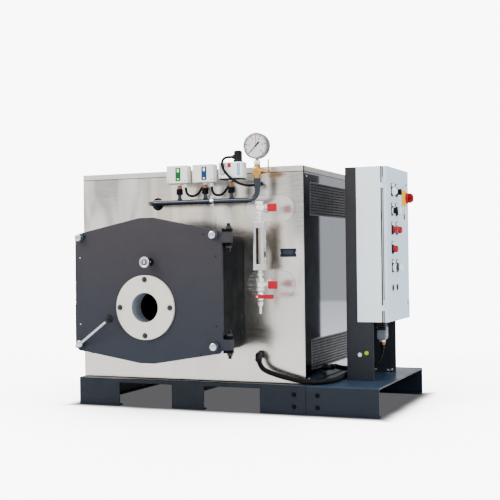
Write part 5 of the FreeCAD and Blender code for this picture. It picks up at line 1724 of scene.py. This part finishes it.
def lamp(piece, centre, look):
    """A lit button: a ribbed red drum with a slightly domed end, in a black collar."""
    piece.add(BLACK_PLASTIC, ring(centre, X, 14.6, 12, 3, 0.8, 40))
    piece.add(look, turned(centre, X, [(0, 13.4), (15, 13.4), (17.5, 12), (19, 8), (19.6, 0)], 44))
    piece.add(look, ring(centre + X * 9, X, 14.2, 12, 3, 0.8, 44))


def square_button(piece, centre, look):
    """A square lens in a black frame."""
    half = 13.8
    piece.add(BLACK_PLASTIC, block(centre - Vector((0, half, half)),
                                   centre + Vector((8, half, half)), 1.8, 3))
    half -= 1.6
    piece.add(look, block(centre + Vector((7, -half, -half)),
                          centre + Vector((18.5, half, half)), 1.6, 3))


def make_key(piece, centre):
    """A key in a round lock, with a plain green tag on its ring."""
    piece.add(NICKEL, turned(centre, X, [(0, 6.5), (2.2, 6.2)], 28))
    piece.add(NICKEL, block(centre + Vector((1.5, -0.9, -3.6)),
                            centre + Vector((8.5, 0.9, 3.6)), 0.4))
    bow = round_outline((centre.x + 12, centre.z - 1), 12, 17, 4.5)
    piece.add(NICKEL, prism(bow, "Y", centre.y - 1, centre.y + 1, 0.3))


def make_key_tag(centre):
    """The tag and the loop that hang from the key."""
    tag = Piece("key_tag", "cabinet_door", "plate_blue")
    loop = [centre + Vector((14 + 5 * cos(a), 3.4 * sin(a), -6 + 7 * sin(a)))
            for a in (radians(24 * step) for step in range(15))]
    tag.add(NICKEL, swept(loop + [loop[0]], [0.7] * (len(loop) + 1), 8))
    low = centre + Vector((12.6, -6, -34))
    tag.add(GREEN_LABEL, block(low, low + Vector((3, 12, 23)), 1.2))
    tag.done()


KEY_BASE = 747
SWITCH_PLATE = (450, 792)
SWITCH_PLATE_SIZE = 63


def make_door_controls():
    """Buttons, knobs and lamps on their plates, and the main switch on its yellow plate."""
    face = Span("cabinet_door").high.x
    piece = Piece("push_buttons_and_knobs", "cabinet_door", "black_plastic")
    left, right = PLATE_Y
    for y, base, make, *looks in (
            (left, 823, push_button, WHITE_PLASTIC, WHITE_PLASTIC, 18),
            (right, 823, knob, BLACK_PLASTIC, BLACK_PLASTIC),
            (left, KEY_BASE, knob, NICKEL, BLACK_PLASTIC),
            (right, KEY_BASE, square_button, WHITE_PLASTIC),
            (left, 673, lamp, RED_LENS),
            (right, 673, lamp, RED_LENS),
            (left, 598, lamp, RED_LENS),
            (left, 526, push_button, NICKEL, BLACK_PLASTIC),
            (right, 526, square_button, WHITE_PLASTIC)):
        make(piece, legend_plate(piece, face, y, base), *looks)
    key_place = on_skid(0, right, KEY_BASE + HEAD_UP)
    key_place.x = face + PLATE_THICK + 15
    make_key(piece, key_place)
    low = on_skid(0, *SWITCH_PLATE)
    low.x = face
    size, inset = SWITCH_PLATE_SIZE, 6
    piece.add(YELLOW, block(low, low + Vector((5.4, size, size)), 2.4, 3))
    middle = low + Vector((0, size / 2, size / 2))
    piece.add(YELLOW, block(low + Vector((4, inset, inset)),
                            low + Vector((8.4, size - inset, size - inset)), 2, 3))
    piece.add(YELLOW, ring(middle + X * 7.8, X, 25.5, 14, 3.9, 1, 48))
    for side in (-1, 1):
        for up in (-1, 1):
            screw(piece, middle + Vector((8.3, side * 20.5, up * 20.5)), X, 2.6, 1, DARK_STEEL)
    piece.done("door_controls")
    make_key_tag(key_place)
    make_main_switch(Span("main_switch_handle"))


def make_main_switch(span):
    """The red handle of the main switch."""
    centre = Vector((span.low.x, span.mid.y, span.mid.z))
    radius = span.size.z / 2
    handle = Piece("main_switch_grip", "main_switch", "red_plastic")
    disc = 9
    handle.add(DEEP_RED, turned(centre, X, [
        (0, radius), (disc - 2, radius), (disc, radius - 2)], 56))
    half = 8
    low = Vector((span.low.x + disc - 1, centre.y - half, centre.z - radius))
    high = Vector((span.high.x, centre.y + half, centre.z + radius))
    outline = []
    for x, z in ((low.x, low.z + 1), (low.x + 12, low.z + 1.4),
                 (high.x - 5, low.z + 5), (high.x, low.z + 10)):
        outline.append((x, z))
    outline += [(x, 2 * centre.z - z) for x, z in reversed(outline)]
    handle.add(DEEP_RED, prism(outline, "Y", low.y, high.y, 3, 3))
    slit = Vector((span.high.x - 14, centre.y, centre.z))
    handle.add(BLACK_PLASTIC, block(slit + Vector((0, -8.3, -5)),
                                    slit + Vector((6, -7.4, 5)), 0.4))
    handle.add(WHITE_PLASTIC, block((span.high.x - 0.7, centre.y - 1.2,
                                     centre.z + 3),
                                    (span.high.x - 0.1, centre.y + 1.2,
                                     centre.z + 10)))
    handle.done("main_switch_handle")


def make_cabinet_connector():
    """The connector hood below the cabinet, and its gland."""
    span = Span("cabinet_connector")
    gland_at = on_skid(1185, 330, 0)
    hood_low = on_skid(0, 0, 258).z
    piece = Piece("connector_hood", "boiler", "light_plastic")
    narrow = 5
    shallow = 10
    split = hood_low + 40
    piece.add(GREY_HOOD, block((span.low.x + narrow, span.low.y + shallow, hood_low + 4),
                               (span.high.x - narrow, span.high.y - shallow, split), 4, 4))
    piece.add(GREY_HOOD, block((span.low.x + narrow + 5, span.low.y + shallow + 6,
                                hood_low),
                               (span.high.x - narrow - 5, span.high.y - shallow - 4,
                                hood_low + 12), 3, 3))
    piece.add(BLACK_PLASTIC, block((span.low.x + narrow + 3, span.low.y + shallow + 3,
                                    split - 1),
                                   (span.high.x - narrow - 3, span.high.y - shallow - 3,
                                    span.high.z), 1))
    ribs = 4
    for number in range(ribs):
        z = split + (span.high.z - split) * (number + 0.5) / ribs
        piece.add(DARK_STEEL, block((span.low.x + narrow + 0.5, span.low.y + shallow + 1,
                                     z - 2),
                                    (span.high.x - narrow - 0.5,
                                     span.high.y - shallow - 1, z + 2), 0.8))
    for x in (span.low.x + narrow - 2, span.high.x - narrow):
        for y in (span.mid.y - 10, span.mid.y + 6):
            piece.add(ZINC, block((x, y, hood_low + 22), (x + 2, y + 4,
                                                               split + 12), 0.6))
        piece.add(ZINC, block((x, span.mid.y - 10, hood_low + 18),
                              (x + 2, span.mid.y + 10, hood_low + 24), 0.6))
    gland = Vector((gland_at.x, gland_at.y, hood_low))
    drop = hood_low - span.low.z
    piece.add(NICKEL, hexagon(gland + Z, -Z, 12.6, 8, 0.3))
    piece.add(COPPER, turned(gland - Z * 7, -Z, [
        (0, 11.6), (6, 11.2), (drop - 8, 8.6), (drop - 7, 6)], 32))
    piece.add(RUBBER, turned(gland - Z * (drop - 1), -Z, [
        (0, 8.4), (10, 8), (18, 6.4), (22, 5.4)], 28))
    piece.done("cabinet_connector")


# ---------------------------------------------------------------- back of the boiler

def make_rear_details():
    """The flue spigot and the two water stubs at the back."""
    casing_back = Span("casing_rear").high.y
    piece = Piece("flue_and_water_stubs", "boiler", "stainless")
    flue = on_skid(483, 0, 640)
    flue.y = casing_back
    piece.add(STEEL_PLAIN, ring(flue - Y * 0.5, Y, 90, 87, 55, 0, 72))
    for along in (12, 40):
        piece.add(STEEL_PLAIN, ring(flue + Y * along, Y, 91.5, 88, 5, 1, 72))
    piece.add(RUBBER, ring(flue - Y * 0.5, Y, 96, 86, 5, 1, 72))
    for x in (263, 703):
        neck = on_skid(x, 0, 300)
        neck.y = casing_back
        flange = neck + Y * 40
        piece.add(FLANGE_PAINT, ring(neck - Y * 0.5, Y, 30, 26, 41, 0, 48))
        piece.add(FLANGE_PAINT, ring(flange, Y, 62, 26, 14, 1.2, 64))
        for number in range(4):
            turn = radians(45 + 90 * number)
            spot = flange + Vector((cos(turn), 0, sin(turn))) * 46
            piece.add(ZINC, hexagon(spot + Y * 0.4, -Y, 9, 7, 0.2))
            # painted shade: dark discs at the back of the bolt holes
            piece.add(PAINTED_SHADE, turned(spot + Y * 13.6, Y, [(0, 7), (0.5, 7)], 24))
    piece.done("rear_connections")


# ---------------------------------------------------------------- everything in its place

make_camera()
make_studio()
dress_frame()
make_cords()
make_conduit_glands()
make_skid_details()
make_casing_details()
make_grilles()
make_door_details()
make_sight_glass()
make_clamp_lever()
make_door_hinges()
make_manifold_details()
make_pressure_switches()
make_pressure_limiter()
make_pressure_gauge()
make_gauge_cock()
make_level_gauge()
make_nameplate()
make_cabinet_details()
make_post_details()
make_door_controls()
make_cabinet_connector()
make_rear_details()
